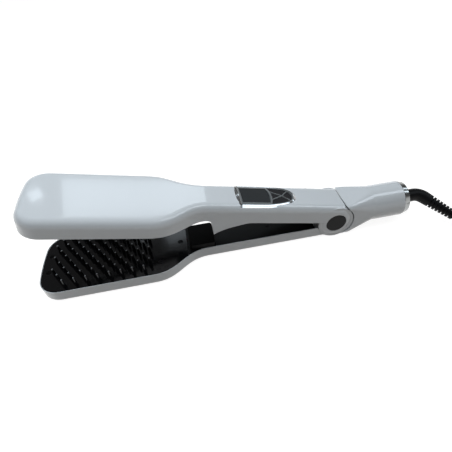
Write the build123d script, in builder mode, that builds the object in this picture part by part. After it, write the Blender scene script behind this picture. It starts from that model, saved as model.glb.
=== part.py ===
from build123d import *

import os
from math import acos, atan2, cos, degrees, hypot, pi, radians, sin, sqrt, tan

# Steam hair straightener brush.  Millimetres, +Z up.  The brush lies on its lower arm.
# The origin is on the table, straight below the hinge axis.  The arms point along -X and
# the cord leaves along +X.  Heights inside an arm are counted from the hinge axis, at right
# angles to that arm, so the same numbers hold for the open and for the closed arm.

# ---------------------------------------------------------------- driving dimensions
hinge_height = 15.5            # hinge axis above the table
open_angle = 13.3              # spread of the arms as they lie open
upper_length = 245.0           # hinge axis to the tip of the upper arm
lower_length = 247.5           # hinge axis to the tip of the lower arm
paddle_half = 31.0             # half the width of the upper paddle
paddle_lip = 1.0               # the lower paddle stands out this far beyond the upper one
handle_half = 15.5             # half the width of the upper handle
wall = 1.8                     # plastic wall of all white mouldings
slide_gap = 0.3                # air between the two arms where one passes the other
fit_gap = 0.2                  # air round a piece laid into a shell
corner_radius = 17.0           # plan corners of the paddle tips
tip_bulge = 2.5                # how far the tip is bowed outwards
neck_start = 156.0             # from the hinge: here the paddle starts to narrow
neck_end = 110.0               # from the hinge: here the handle has its full slimness
neck_ease = 21.4               # length of the curve handles of the neck
paddle_top = 13.0              # upper paddle, top above the hinge axis
handle_top = 16.1              # upper handle, top above the hinge axis
top_slope_start = 156.0        # from the hinge: the top starts to rise from the paddle
top_slope_end = 108.0           # from the hinge: the top has reached the handle
crown_radius = 6.0             # rounding along the top of the upper arm
paddle_rim = -1.2              # lower edge of the upper paddle
handle_rim = 0.0               # lower edge of the upper handle
lower_rim = -4.3               # upper edge of the lower arm
belly_radius = 3.4             # rounding along the belly of the lower arm
ear_radius = 15.2              # round ears of the upper arm at the hinge
ear_thickness = 3.3
seam_gap = 0.6                 # seam between the upper arm and the rear housing
shell_rear = 3.7               # top of the upper shell ends this far behind the hinge axis

# self-tapping screws and the bosses that take them
screw_radius = 1.2
screw_head_radius = 2.2
screw_head_height = 1.2
screw_bite = 5.0               # depth of the screw in its boss
screw_clearance = 0.05
boss_radius = 2.6
pilot_spare = 0.5              # the hole in a boss is this much deeper than the screw

lower_handle_half = handle_half - wall - slide_gap
lower_paddle_half = paddle_half + paddle_lip
neck_slope = radians(33)       # steepest slope of the neck in plan
arm_turn = radians(open_angle)

# side tabs of the upper shell, which guide the arms together
tab_front_top = 108.0          # from the hinge
tab_front_bottom = 104.2
tab_depth = 12.3
tab_end = 74.5
tab_shares = [(0.343, 0.195), (0.556, 0.374), (0.865, 0.748)]  # the tab's curved edge
arch_start = 134.0             # shallow arch in the side wall ahead of each tab
arch_peak = 114.5
arch_height = 1.9

# hinge
pin_radius = 2.5
pin_end_gap = 0.1
bush_wall = 1.0
bush_flange = 0.8
running_clearance = 0.05
lug_radius = 7.0
lug_outer = handle_half - ear_thickness - slide_gap
lug_inner = 7.0
cap_radius = 8.7
cap_thickness = 1.0
spring_radius = 4.6
spring_wire = 0.6              # radius of the wire
spring_pitch = 1.9
spring_turns = 5
spring_reach_front = 21.0      # from the hinge: the leg that lifts the upper arm
spring_reach_rear = 19.0       # from the hinge: the leg that bears on the housing
tongue_thickness = 2.0
tongue_length = 45.0
tongue_screw_inset = (7.0, 21.0)           # screws from the tongue's end
tongue_screw_x = [tongue_length - inset for inset in tongue_screw_inset]

# heights of the stack in the upper paddle and handle
plate_face = 6.2               # steam plate, face towards the bristles
plate_thickness = 1.6
heater_thickness = 1.1
mica_thickness = 0.5
layer_gap = 0.05
cover_face = 2.3               # inner cover of the upper handle
cover_thickness = 1.5
cover_boss_front = 140.3       # from the hinge: front bosses, in the neck
cover_boss_neck = 14.0
cover_boss_rear = 23.5
frame_width = 3.0
plate_end = 146.0              # from the hinge: end of the steam plate
frame_drop = 0.2               # the frame stands out this far beyond the plate
heater_half = 12.0
heater_margin = 2.0            # the heater goes this far beyond the outermost steam slots
mica_margin = 0.6              # the mica sheet goes this far beyond the heater
cutout_size = (12.0, 6.0, 1.2)
cutout_centre = (plate_end + upper_length) / 2 - 1.5
steam_side = 17.0              # steam slots, to each side of the middle
steam_pairs = 10
steam_first = upper_length - 15.0          # from the hinge: first pair of slots
steam_pitch = (steam_first - plate_end - 4.0) / steam_pairs
steam_slot = (4.4, 1.6)
manifold_top = 10.4
manifold_wall = 0.8
manifold_half = 2.2
cross_duct_height = 1.8
hot_tube_radius = 0.85
hot_tube_bore = 0.5
lead_radius = 0.55             # thin wires of the upper heater
lead_spread = 6.0

# display
bezel_front = 87.5             # from the hinge: straight end of the bezel
bezel_shoulder = 68.0
bezel_tip = 38.3
bezel_half = handle_half - 2.3
bezel_nose = bezel_half - 2.7
bezel_corner = 3.0
bezel_crown = 16.9
bezel_edge_top = 15.2
bezel_bottom = 13.3
window_front = 84.4
window_rear = 61.2
window_half = bezel_half - 4.0
window_bow = 1.3
window_top = 15.75
window_thickness = 1.2
lcd_margin = 0.5               # the display module is this much smaller than its window
divider_width = 1.3
web_width = 0.9
web_centre = 49.2
web_top = 16.2
web_reach = window_half - 3.4  # how far to the side the arms of the web end
web_spread = 1.4               # the rear arms end this much further back and out
bezel_band = 2.4               # chrome left between the buttons and the bezel's edge
button_top = 15.85
button_bottom = 13.6
button_gap = 0.2
button_chamfer = 0.3
button_travel = 0.5
board_top = 11.0
board_thickness = 1.4
board_front = 93.0
board_rear = 33.5
board_half = handle_half - 3.3
board_boss_inset = (2.6, 3.0)  # bosses from the board's ends and sides
board_bite = 2.5               # depth of the board's short screws in their bosses
switch_size = 4.2
switch_height = 1.7
switch_plunger_radius = 1.0

# water and steam
tank_front = 110.0
tank_step = 95.0
tank_rear = 40.0
wire_room = 5.9                # room for the wires beside the tank
tank_left = wire_room - handle_half
tank_right = handle_half - 2.5
tank_wall = 1.2
tank_low_top = 8.2
tank_high_top = 12.9
tank_crown = 3.5
port_radius = 2.6
port_x = -102.5
port_z = 7.2
seal_width = 0.7
stopper_clearance = 0.08
stopper_flange = 4.2
stopper_flange_thickness = 1.2
stopper_edge = 0.5
stopper_length = 6.0            # from the shell's side into the tank
pump_radius = 4.4
pump_motor = 5.0               # length of the slimmer motor end
pump_motor_radius = 3.6
pump_front = 33.0
pump_rear = 17.5
pump_z = 8.25
boiler_front = 136.0
boiler_rear = 113.0
boiler_half = handle_half - 2.4
boiler_top = 10.9
tube_radius = 1.3
tube_bend = 2.2
pump_outlet = 2.0              # the outlet lies this far off the pump's axis
tube_side = handle_half - 3.8
tube_z = 6.4

# lower arm inside
bed_drop = 0.6                 # bed of the brush below the rim
rim_width = 0.6                # the bed and the cover lie in a rebate inside this thin rim
bed_thickness = 1.6
bed_end = 127.0
bristle_height = 8.0
bristle_root = 1.5
bristle_tip = 0.85
bristle_pitch_x = 9.0
bristle_pitch_y = 6.5
bristle_rows = 9
bristle_first = lower_length - 12.5        # from the hinge: first column at the tip
bristle_last = neck_start + 1.0
carrier_thickness = 1.5
handle_cover_drop = 0.6
bed_tip_inset = 6.0            # screws at the tip of the bed
bed_boss_tip = 9.0
bed_boss_middle = 150.5        # screws where the bed narrows
bed_boss_neck = 19.0
bed_boss_rear = 132.5
handle_boss_x = (118.0, 56.0)
bed_heater_half = 16.0
spacer_radius = 2.0            # posts of the insulator under the bed
spacer_pitch = ((bristle_first - bristle_last) / 1.56, 1.5 * bed_heater_half)
mains_lead_radius = 0.9
mains_lead_z = -9.0
tray_end = 8.0                 # from the hinge: end of the white tray

# rear housing, collar and swivel
swivel_rise = 2.5              # swivel axis above the hinge axis
barrel_radius = 15.1
barrel_flat = 0.02             # half width of the four flats that the loft needs
barrel_start = 34.0
barrel_end = 61.0
block_end = 13.0
block_corner = 4.0
barrel_bore = 12.7
bore_depth = 8.0               # the bore starts this far behind the block
collar_length = 5.0
collar_end_radius = 13.7
collar_spigot = 6.0
collar_bore = 6.25
core_flange_radius = 8.5
core_flange = 2.4
collar_face = 3.0              # thickness of the collar's end
flange_play = 0.1
stub_radius = 4.5
stub_length = 5.0
socket_length = 9.0
relief_root = 5.6
relief_straight = 11.0
relief_bend = 11.0             # bend radius of the moulded elbow
relief_angle = 52.0            # how far the elbow turns off the barrel's axis
relief_tilt = 20.0             # how far the elbow looks down from level
relief_length = 28.0
relief_end_radius = 4.1
relief_slots = 7
relief_slot_pitch = 3.0
relief_slot_width = 1.2
relief_slot_depth = 1.5
tunnel_half = 9.0              # passage from the arms into the barrel
tunnel_low = -11.0
tunnel_top = 7.0
power_board_front = 24.0
power_board_rear = 48.0
power_board_drop = 6.0         # underside of the board below the swivel axis
board_blocks = [               # x from, x to, y from, y to, height on the board
    (2.0, 10.0, -8.0, -1.0, 7.0),
    (2.0, 7.0, 2.0, 8.0, 4.0),
    (13.0, 22.0, 4.0, 8.5, 5.0),
]
can_centre = (17.0, -3.0)      # round capacitor on the board
can_radius = 4.0
can_height = 9.0

# mains cord
cord_radius = 3.0
lead_straight = 13.0
coil_centre = (170.0, -9.0)     # the coil lies in line with the brush
coil_radius = 36.0             # middle of the coil's turns
coil_width = 12.0              # two turns side by side
coil_height = 24.0             # four turns on each other
plug_length = 34.0
plug_width = 35.0
plug_height = 13.6
plug_pin_radius = 2.0
plug_pin_spread = 18.6
plug_pin_length = 19.0
plug_neck = 6.0                # half the width of the plug where the cord enters
plug_taper = 20.4              # length over which the plug widens
plug_edge = 2.0
plug_start = (171.0, -43.0)    # where the cord enters the plug, which lies on the coil
tie_thickness = 1.0
tie_width = 14.0

os.makedirs("parts", exist_ok=True)

# ---------------------------------------------------------------- planes of the two arms
hinge_point = (0, 0, hinge_height)
upper_axis = Vector(cos(arm_turn), 0, -sin(arm_turn))
upper_up = Vector(sin(arm_turn), 0, cos(arm_turn))
lower_plan = Plane(origin=hinge_point, x_dir=(1, 0, 0), z_dir=(0, 0, 1))
lower_side = Plane(origin=hinge_point, x_dir=(1, 0, 0), z_dir=(0, -1, 0))
upper_plan = Plane(origin=hinge_point, x_dir=upper_axis, z_dir=upper_up)
upper_side = Plane(origin=hinge_point, x_dir=upper_axis, z_dir=(0, -1, 0))
belly = -hinge_height
swivel_height = hinge_height + swivel_rise


def cross(plan, x):
    """Plane at right angles to an arm, x from the hinge axis, its own x towards +Y."""
    return Plane(origin=plan.from_local_coords(Vector(x, 0, 0)), x_dir=(0, 1, 0), z_dir=plan.x_dir)


def barrel_plane(x):
    """Plane at right angles to the barrel's axis at x."""
    return Plane(origin=(x, 0, swivel_height), x_dir=(0, 1, 0), z_dir=(1, 0, 0))


def rectangle(plan, z, x_low, x_high, y_low, y_high):
    """Rectangular face parallel to an arm, z from the hinge axis."""
    with BuildSketch(plan.offset(z)) as face:
        with Locations(((x_low + x_high) / 2, (y_low + y_high) / 2)):
            Rectangle(x_high - x_low, y_high - y_low)
    return face.sketch


def discs(plan, z, places, radius):
    """One or more round faces parallel to an arm."""
    with BuildSketch(plan.offset(z)) as face:
        with Locations(*places):
            Circle(radius)
    return face.sketch


def side_disc(plan_side, y, centre, radius):
    """Round face at right angles to Y, at y, centred on (x, z) of the arm."""
    with BuildSketch(plan_side.offset(-y)) as face:
        with Locations(centre):
            Circle(radius)
    return face.sketch


def arm_outline(plan, z, length, paddle, handle, inset, low, high):
    """Plan face of an arm, drawn in by inset and cut off at low and high along the arm."""
    tip = inset - length
    wide = paddle - inset
    slim = handle - inset
    shift = inset * tan(neck_slope / 2)
    neck_a = -neck_start - shift
    neck_b = -neck_end - shift
    with BuildSketch(plan.offset(z)) as face:
        with BuildLine():
            TangentArc((tip, 0), (tip + tip_bulge, wide), tangent=(0, 1))
            Line((tip + tip_bulge, wide), (neck_a, wide))
            Bezier((neck_a, wide), (neck_a + neck_ease, wide), (neck_b - neck_ease, slim), (neck_b, slim))
            Line((neck_b, slim), (ear_radius + wall, slim))
            Line((ear_radius + wall, slim), (ear_radius + wall, 0))
            mirror(about=Plane.XZ)
        make_face()
        fillet(face.vertices().group_by(Axis.X)[0], radius=corner_radius - inset)
        with Locations(((low + high) / 2, 0)):
            Rectangle(high - low, 4 * paddle, mode=Mode.INTERSECT)
    return face.sketch


def upper_outline(z, inset, low=-upper_length, high=ear_radius + wall):
    return arm_outline(upper_plan, z, upper_length, paddle_half, handle_half, inset, low, high)


def lower_outline(z, inset, low=-lower_length, high=ear_radius + wall):
    return arm_outline(lower_plan, z, lower_length, lower_paddle_half, lower_handle_half, inset, low, high)


def screw_set(name, plan, places, seat, head_face, shaft_end):
    """Group of equal screws with slotted heads: heads from seat to head_face, shafts to shaft_end."""
    slot_half = 0.7 * screw_head_radius
    with BuildPart() as screws:
        extrude(discs(plan, seat, places, screw_head_radius), amount=head_face - seat)
        extrude(discs(plan, seat, places, screw_radius), amount=shaft_end - seat)
        for x, y in places:
            slot_edges = (x - slot_half, x + slot_half, y - screw_radius / 4, y + screw_radius / 4)
            slot = rectangle(plan, head_face, *slot_edges)
            extrude(slot, amount=(seat - head_face) / 2, mode=Mode.SUBTRACT)
    screws.part.label = name
    export_step(screws.part, f"parts/{name}.step")


pilot = screw_radius + screw_clearance
head_hole = screw_head_radius + screw_clearance


# ---------------------------------------------------------------- upper arm shell
seam_angle = degrees(atan2(handle_top, shell_rear))
seam_angle -= degrees(acos(ear_radius / hypot(handle_top, shell_rear)))
tangent_x = ear_radius * cos(radians(seam_angle))
tangent_z = ear_radius * sin(radians(seam_angle))


def top_line(drop):
    """Top of the upper arm from beyond its tip to the rear, drop below the outer face."""
    Line((-upper_length - wall, paddle_top - drop), (-top_slope_start, paddle_top - drop))
    ease = (top_slope_start - top_slope_end) * 0.5
    Bezier(
        (-top_slope_start, paddle_top - drop),
        (-top_slope_start + ease, paddle_top - drop),
        (-top_slope_end - ease, handle_top - drop),
        (-top_slope_end, handle_top - drop),
    )


tab_run = tab_front_bottom - tab_end
tab_curve = [(-tab_end - along * tab_run, -down * tab_depth) for along, down in tab_shares]

with BuildSketch(upper_side) as shell_profile:
    with BuildLine():
        top_line(0)
        Line((-top_slope_end, handle_top), (shell_rear, handle_top))
        Line((shell_rear, handle_top), (tangent_x, tangent_z))
        CenterArc((0, 0), ear_radius, seam_angle, -180 - seam_angle)
        Line((-ear_radius, handle_rim), (-tab_end, handle_rim))
        Spline(
            (-tab_end, handle_rim),
            *tab_curve,
            (-tab_front_bottom, -tab_depth),
            tangents=[(-1, 0), (-0.66, -0.75)],
        )
        Line((-tab_front_bottom, -tab_depth), (-tab_front_top, handle_rim))
        Spline(
            (-tab_front_top, handle_rim),
            (-arch_peak, arch_height),
            (-arch_start, paddle_rim),
            tangents=[(-0.5, 1), (-1, 0)],
        )
        Line((-arch_start, paddle_rim), (-upper_length - wall, paddle_rim))
        Line((-upper_length - wall, paddle_rim), (-upper_length - wall, paddle_top))
    make_face()

with BuildSketch(upper_side) as cavity_profile:
    with BuildLine():
        top_line(wall)
        Line((-top_slope_end, handle_top - wall), (ear_radius + wall, handle_top - wall))
        Line((ear_radius + wall, handle_top - wall), (ear_radius + wall, -ear_radius - wall))
        Line((ear_radius + wall, -ear_radius - wall), (-upper_length - wall, -ear_radius - wall))
        Line((-upper_length - wall, -ear_radius - wall), (-upper_length - wall, paddle_top - wall))
    make_face()

with BuildPart() as upper_cavity:
    extrude(upper_outline(-ear_radius - wall, wall), amount=handle_top + ear_radius + 2 * wall)
    extrude(cavity_profile.sketch, amount=2 * paddle_half, both=True, mode=Mode.INTERSECT)
    cavity_rim = upper_cavity.faces().filter_by(lambda f: f.normal_at().dot(upper_up) > 0.8).edges()
    fillet(cavity_rim.filter_by(lambda e: abs(e.center().Y) > 1), radius=crown_radius - wall)


def bezel_outline(z, inset, rear=0.0):
    """Bullet shape of the bezel: straight towards the tip of the arm, round towards the hinge."""
    half = bezel_half - inset
    nose = bezel_nose - inset
    nose_x = -bezel_tip - bezel_nose
    run = nose_x + bezel_shoulder
    big = (run**2 + half**2 - nose**2) / (2 * (half - nose))
    touch = Vector(run, big - half).normalized()
    join = (nose_x + nose * touch.X, nose * touch.Y)
    with BuildSketch(upper_plan.offset(z)) as face:
        with BuildLine():
            Line((-bezel_front + inset, 0), (-bezel_front + inset, half))
            Line((-bezel_front + inset, half), (-bezel_shoulder, half))
            TangentArc((-bezel_shoulder, half), join, tangent=(1, 0))
            TangentArc(join, (nose_x + nose, 0), tangent=(touch.Y, -touch.X))
            mirror(about=Plane.XZ)
        make_face()
        fillet(face.vertices().group_by(Axis.X)[0], radius=max(bezel_corner - inset, 0.5))
    return face.sketch


board_boss_x = (board_boss_inset[0] - board_front, -board_boss_inset[0] - board_rear)
board_boss_y = board_half - board_boss_inset[1]
board_bosses = [(x, y) for x in board_boss_x for y in (-board_boss_y, board_boss_y)]
cover_boss_y = handle_half - 5.1
cover_bosses = [
    (-cover_boss_front, -cover_boss_neck),
    (-cover_boss_front, cover_boss_neck),
    (-cover_boss_rear, -cover_boss_y),
    (-cover_boss_rear, cover_boss_y),
]

with BuildPart() as upper_arm_shell:
    extrude(upper_outline(-ear_radius - wall, 0), amount=handle_top + ear_radius + 2 * wall)
    extrude(shell_profile.sketch, amount=2 * paddle_half, both=True, mode=Mode.INTERSECT)
    shell_rim = upper_arm_shell.faces().filter_by(lambda f: f.normal_at().dot(upper_up) > 0.8).edges()
    fillet(shell_rim.filter_by(lambda e: abs(e.center().Y) > 1), radius=crown_radius)
    add(upper_cavity.part, mode=Mode.SUBTRACT)
    for way in (-1, 1):
        inner = way * (handle_half - ear_thickness)
        extrude(side_disc(upper_side, inner, (0, 0), ear_radius), amount=-way * (ear_thickness - wall / 2))
        outer = way * handle_half
        cap_seat = side_disc(upper_side, outer, (0, 0), cap_radius + layer_gap)
        extrude(cap_seat, amount=way * cap_thickness, mode=Mode.SUBTRACT)
    pin_bore = side_disc(upper_side, 0, (0, 0), pin_radius)
    extrude(pin_bore, amount=2 * handle_half, both=True, mode=Mode.SUBTRACT)
    extrude(discs(upper_plan, board_top, board_bosses, boss_radius), amount=handle_top - wall / 2 - board_top)
    extrude(
        discs(upper_plan, cover_face + cover_thickness, cover_bosses[:2], boss_radius),
        amount=paddle_top - wall / 2 - cover_face - cover_thickness,
    )
    extrude(
        discs(upper_plan, cover_face + cover_thickness, cover_bosses[2:], boss_radius),
        amount=handle_top - wall / 2 - cover_face - cover_thickness,
    )
    board_pilots = discs(upper_plan, board_top, board_bosses, pilot)
    extrude(board_pilots, amount=board_bite + pilot_spare, mode=Mode.SUBTRACT)
    cover_pilots = discs(upper_plan, cover_face + cover_thickness, cover_bosses, pilot)
    extrude(cover_pilots, amount=screw_bite + pilot_spare, mode=Mode.SUBTRACT)
    extrude(bezel_outline(bezel_bottom - 4, -layer_gap), amount=9, mode=Mode.SUBTRACT)
    port_bore = side_disc(upper_side, 0, (port_x, port_z), port_radius)
    extrude(port_bore, amount=-2 * handle_half, mode=Mode.SUBTRACT)
upper_arm_shell.part.label = "upper_arm_shell"
export_step(upper_arm_shell.part, "parts/upper_arm_shell.step")

# ---------------------------------------------------------------- upper handle: cover and screws
cover_low = -plate_end + frame_width + fit_gap
cover_high = -ear_radius

with BuildPart() as upper_inner_cover:
    extrude(upper_outline(cover_face, wall + fit_gap, cover_low, cover_high), amount=cover_thickness)
    extrude(discs(upper_plan, cover_face, cover_bosses, pilot), amount=cover_thickness, mode=Mode.SUBTRACT)
    head_holes = discs(upper_plan, cover_face, cover_bosses, head_hole)
    extrude(head_holes, amount=cover_thickness / 2, mode=Mode.SUBTRACT)
upper_inner_cover.part.label = "upper_inner_cover"
export_step(upper_inner_cover.part, "parts/upper_inner_cover.step")

cover_seat = cover_face + cover_thickness / 2
cover_shaft_end = cover_face + cover_thickness + screw_bite
screw_set("upper_cover_screws", upper_plan, cover_bosses, cover_seat, cover_face, cover_shaft_end)

# ---------------------------------------------------------------- upper paddle: steam plate stack
plate_back = plate_face + plate_thickness
heater_back = plate_back + layer_gap + heater_thickness
mica_back = heater_back + layer_gap + mica_thickness
frame_face = plate_face - frame_drop

with BuildPart() as plate_frame:
    frame_plan = upper_outline(frame_face, wall + fit_gap, high=-plate_end + frame_width)
    extrude(frame_plan, amount=plate_back - frame_face)
    window = upper_outline(frame_face, wall + fit_gap + frame_width, high=-plate_end)
    extrude(window, amount=plate_back - frame_face, mode=Mode.SUBTRACT)
plate_frame.part.label = "plate_frame"
export_step(plate_frame.part, "parts/plate_frame.step")

with BuildPart() as steam_plate:
    plate_inset = wall + 2 * fit_gap + frame_width
    extrude(upper_outline(plate_face, plate_inset, high=-plate_end - fit_gap), amount=plate_thickness)
    slot_columns = [-steam_first + steam_pitch * i for i in range(steam_pairs)]
    slots = [(x, way * steam_side) for x in slot_columns for way in (-1, 1)]
    with BuildSketch(upper_plan.offset(plate_face)):
        with Locations(*slots):
            SlotOverall(*steam_slot)
    extrude(amount=plate_thickness, mode=Mode.SUBTRACT)
steam_plate.part.label = "steam_plate"
export_step(steam_plate.part, "parts/steam_plate.step")

cross_duct_x = -plate_end - frame_width - manifold_half
heater_low = -steam_first - heater_margin
heater_high = cross_duct_x - manifold_half - heater_margin
with BuildPart() as plate_heater:
    heater_edges = (heater_low, heater_high, -heater_half, heater_half)
    extrude(rectangle(upper_plan, plate_back + layer_gap, *heater_edges), amount=heater_thickness)
plate_heater.part.label = "plate_heater"
export_step(plate_heater.part, "parts/plate_heater.step")

with BuildPart() as plate_insulator:
    mica_half = heater_half + mica_margin
    mica_edges = (heater_low - mica_margin, heater_high + mica_margin, -mica_half, mica_half)
    extrude(rectangle(upper_plan, heater_back + layer_gap, *mica_edges), amount=mica_thickness)
plate_insulator.part.label = "plate_insulator"
export_step(plate_insulator.part, "parts/plate_insulator.step")

with BuildPart() as thermal_cutout:
    with BuildSketch(upper_plan.offset(mica_back + layer_gap)):
        with Locations((-cutout_centre, 0)):
            Rectangle(cutout_size[0], cutout_size[1])
    extrude(amount=cutout_size[2])
    fillet(thermal_cutout.edges().filter_by(lambda e: abs(e.tangent_at().dot(upper_up)) > 0.9), radius=0.8)
thermal_cutout.part.label = "thermal_cutout"
export_step(thermal_cutout.part, "parts/thermal_cutout.step")

duct_base = plate_back + layer_gap
cross_duct_top = duct_base + cross_duct_height
with BuildPart() as steam_manifold:
    rail_low = heater_low - heater_margin
    rail_high = cross_duct_x + manifold_half
    duct_half = manifold_half - manifold_wall
    for way in (-1, 1):
        y = way * steam_side
        rail = rectangle(upper_plan, duct_base, rail_low, rail_high, y - manifold_half, y + manifold_half)
        extrude(rail, amount=manifold_top - duct_base)
    cross_edges = (cross_duct_x - manifold_half, cross_duct_x + manifold_half, -steam_side, steam_side)
    extrude(rectangle(upper_plan, duct_base, *cross_edges), amount=cross_duct_height)
    for way in (-1, 1):
        y = way * steam_side
        channel_edges = (rail_low + manifold_wall, cross_duct_x, y - duct_half, y + duct_half)
        channel = rectangle(upper_plan, duct_base, *channel_edges)
        extrude(channel, amount=manifold_top - manifold_wall - duct_base, mode=Mode.SUBTRACT)
steam_manifold.part.label = "steam_manifold"
export_step(steam_manifold.part, "parts/steam_manifold.step")

with BuildPart() as steam_tube:
    with BuildSketch(cross(upper_plan, -boiler_front)):
        with Locations((0, duct_base + layer_gap + hot_tube_radius)):
            Circle(hot_tube_radius)
            Circle(hot_tube_bore, mode=Mode.SUBTRACT)
    extrude(amount=cross_duct_x + manifold_half + boiler_front)
steam_tube.part.label = "steam_tube"
export_step(steam_tube.part, "parts/steam_tube.step")

with BuildPart() as heater_leads:
    lead_z = cross_duct_top + layer_gap + lead_radius
    with BuildSketch(cross(upper_plan, -boiler_front)):
        with Locations((-lead_spread, lead_z), (lead_spread, lead_z)):
            Circle(lead_radius)
    extrude(amount=heater_high - heater_margin + boiler_front)
heater_leads.part.label = "heater_leads"
export_step(heater_leads.part, "parts/heater_leads.step")

# ---------------------------------------------------------------- water and steam
tank_base = cover_face + cover_thickness + layer_gap

with BuildPart() as tank_body:
    tower = rectangle(upper_plan, tank_base, -tank_front, -tank_step, tank_left, tank_right)
    extrude(tower, amount=tank_high_top - tank_base)
    tower_top = tank_body.faces().sort_by(Axis(hinge_point, upper_up))[-1]
    fillet(tower_top.edges(), radius=tank_crown)
    basin = rectangle(upper_plan, tank_base, -tank_front, -tank_rear, tank_left, tank_right)
    extrude(basin, amount=tank_low_top - tank_base)

with BuildPart() as water_tank:
    add(tank_body.part)
    inner_y = (tank_left + tank_wall, tank_right - tank_wall)
    floor_z = tank_base + tank_wall
    inner = rectangle(upper_plan, floor_z, -tank_front + tank_wall, -tank_rear - tank_wall, *inner_y)
    extrude(inner, amount=tank_low_top - tank_wall - floor_z, mode=Mode.SUBTRACT)
    inner_y = (tank_left + 2 * tank_wall, tank_right - 2 * tank_wall)
    inner = rectangle(upper_plan, floor_z, -tank_front + 2 * tank_wall, -tank_step - 2 * tank_wall, *inner_y)
    extrude(inner, amount=tank_high_top - tank_wall - floor_z, mode=Mode.SUBTRACT)
    port = side_disc(upper_side, tank_right - 4 * tank_wall, (port_x, port_z), port_radius)
    extrude(port, amount=-5 * tank_wall, mode=Mode.SUBTRACT)
water_tank.part.label = "water_tank"
export_step(water_tank.part, "parts/water_tank.step")

with BuildPart() as tank_seal:
    with BuildSketch(upper_side.offset(-tank_right - layer_gap)):
        with Locations((port_x, port_z)):
            Circle(port_radius + seal_width)
            Circle(port_radius, mode=Mode.SUBTRACT)
    extrude(amount=-(handle_half - wall - tank_right - 2 * layer_gap))
tank_seal.part.label = "tank_seal"
export_step(tank_seal.part, "parts/tank_seal.step")

with BuildPart() as fill_stopper:
    flange_face = side_disc(upper_side, handle_half, (port_x, port_z), stopper_flange)
    extrude(flange_face, amount=-stopper_flange_thickness)
    fillet(fill_stopper.edges().filter_by(GeomType.CIRCLE).sort_by(Axis.Y)[-1], radius=stopper_edge)
    plug_radius = port_radius - stopper_clearance
    extrude(side_disc(upper_side, handle_half, (port_x, port_z), plug_radius), amount=stopper_length)
fill_stopper.part.label = "fill_stopper"
export_step(fill_stopper.part, "parts/fill_stopper.step")

with BuildPart() as micro_pump:
    with BuildSketch(cross(upper_plan, -pump_front)):
        with Locations((0, pump_z)):
            Circle(pump_radius)
    extrude(amount=pump_front - pump_rear - pump_motor)
    with BuildSketch(cross(upper_plan, -pump_rear - pump_motor)):
        with Locations((0, pump_z)):
            Circle(pump_motor_radius)
    extrude(amount=pump_motor)
micro_pump.part.label = "micro_pump"
export_step(micro_pump.part, "parts/micro_pump.step")

with BuildPart() as water_tube:
    bend_x = -(pump_front + tank_rear) / 2
    with BuildLine(upper_plan.offset(tube_z)) as tube_path:
        FilletPolyline(
            (-pump_front - layer_gap, -pump_outlet),
            (bend_x, -pump_outlet),
            (bend_x, -tube_side),
            (-boiler_rear + layer_gap, -tube_side),
            radius=tube_bend,
        )
    with BuildSketch(Plane(tube_path.line @ 0, z_dir=tube_path.line % 0)):
        Circle(tube_radius)
    sweep()
water_tube.part.label = "water_tube"
export_step(water_tube.part, "parts/water_tube.step")

with BuildPart() as steam_generator:
    boiler_plan = rectangle(upper_plan, tank_base, -boiler_front, -boiler_rear, -boiler_half, boiler_half)
    extrude(boiler_plan, amount=boiler_top - tank_base)
    uprights = steam_generator.edges().filter_by(lambda e: abs(e.tangent_at().dot(upper_up)) > 0.9)
    fillet(uprights, radius=1.5)
steam_generator.part.label = "steam_generator"
export_step(steam_generator.part, "parts/steam_generator.step")

# ---------------------------------------------------------------- display and buttons
bow_radius = (window_half**2 + window_bow**2) / (2 * window_bow)
bow_centre = -window_rear + window_bow - bow_radius


def window_outline(z, inset):
    """Display window: straight sides, bowed towards the buttons."""
    with BuildSketch(upper_plan.offset(z)) as face:
        with Locations((bow_centre, 0)):
            Circle(bow_radius - inset)
        low = -window_front + inset
        half = window_half - inset
        with Locations((low + window_front / 2, 0)):
            Rectangle(window_front, 2 * half, mode=Mode.INTERSECT)
    return face.sketch


def web_bars(z, widen):
    """Four bars of the web between the buttons, each widened by widen on both sides."""
    ends = [
        (-window_rear + 1, web_reach),
        (-window_rear + 1, -web_reach),
        (-bezel_tip - bezel_nose / 2 + web_spread, web_reach + web_spread),
        (-bezel_tip - bezel_nose / 2 + web_spread, -web_reach - web_spread),
    ]
    with BuildSketch(upper_plan.offset(z)) as face:
        for x, y in ends:
            run = Vector(x + web_centre, y)
            middle = ((x - web_centre) / 2, y / 2, 0)
            with Locations(Location(middle, (0, 0, degrees(atan2(run.Y, run.X))))):
                Rectangle(run.length + web_width, web_width + 2 * widen)
    return face.sketch


def button_faces(z, gap):
    """The four button openings, drawn in by gap, sorted from the display to the tip."""
    with BuildSketch(upper_plan.offset(z)) as zone:
        add(bezel_outline(0, bezel_band + gap).moved(Location(upper_plan).inverse()))
        with Locations((bow_centre, 0)):
            Circle(bow_radius + divider_width + gap, mode=Mode.SUBTRACT)
        add(web_bars(0, gap).moved(Location(upper_plan).inverse()), mode=Mode.SUBTRACT)
    return zone.sketch.faces().sort_by(Axis(hinge_point, upper_axis))


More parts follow.
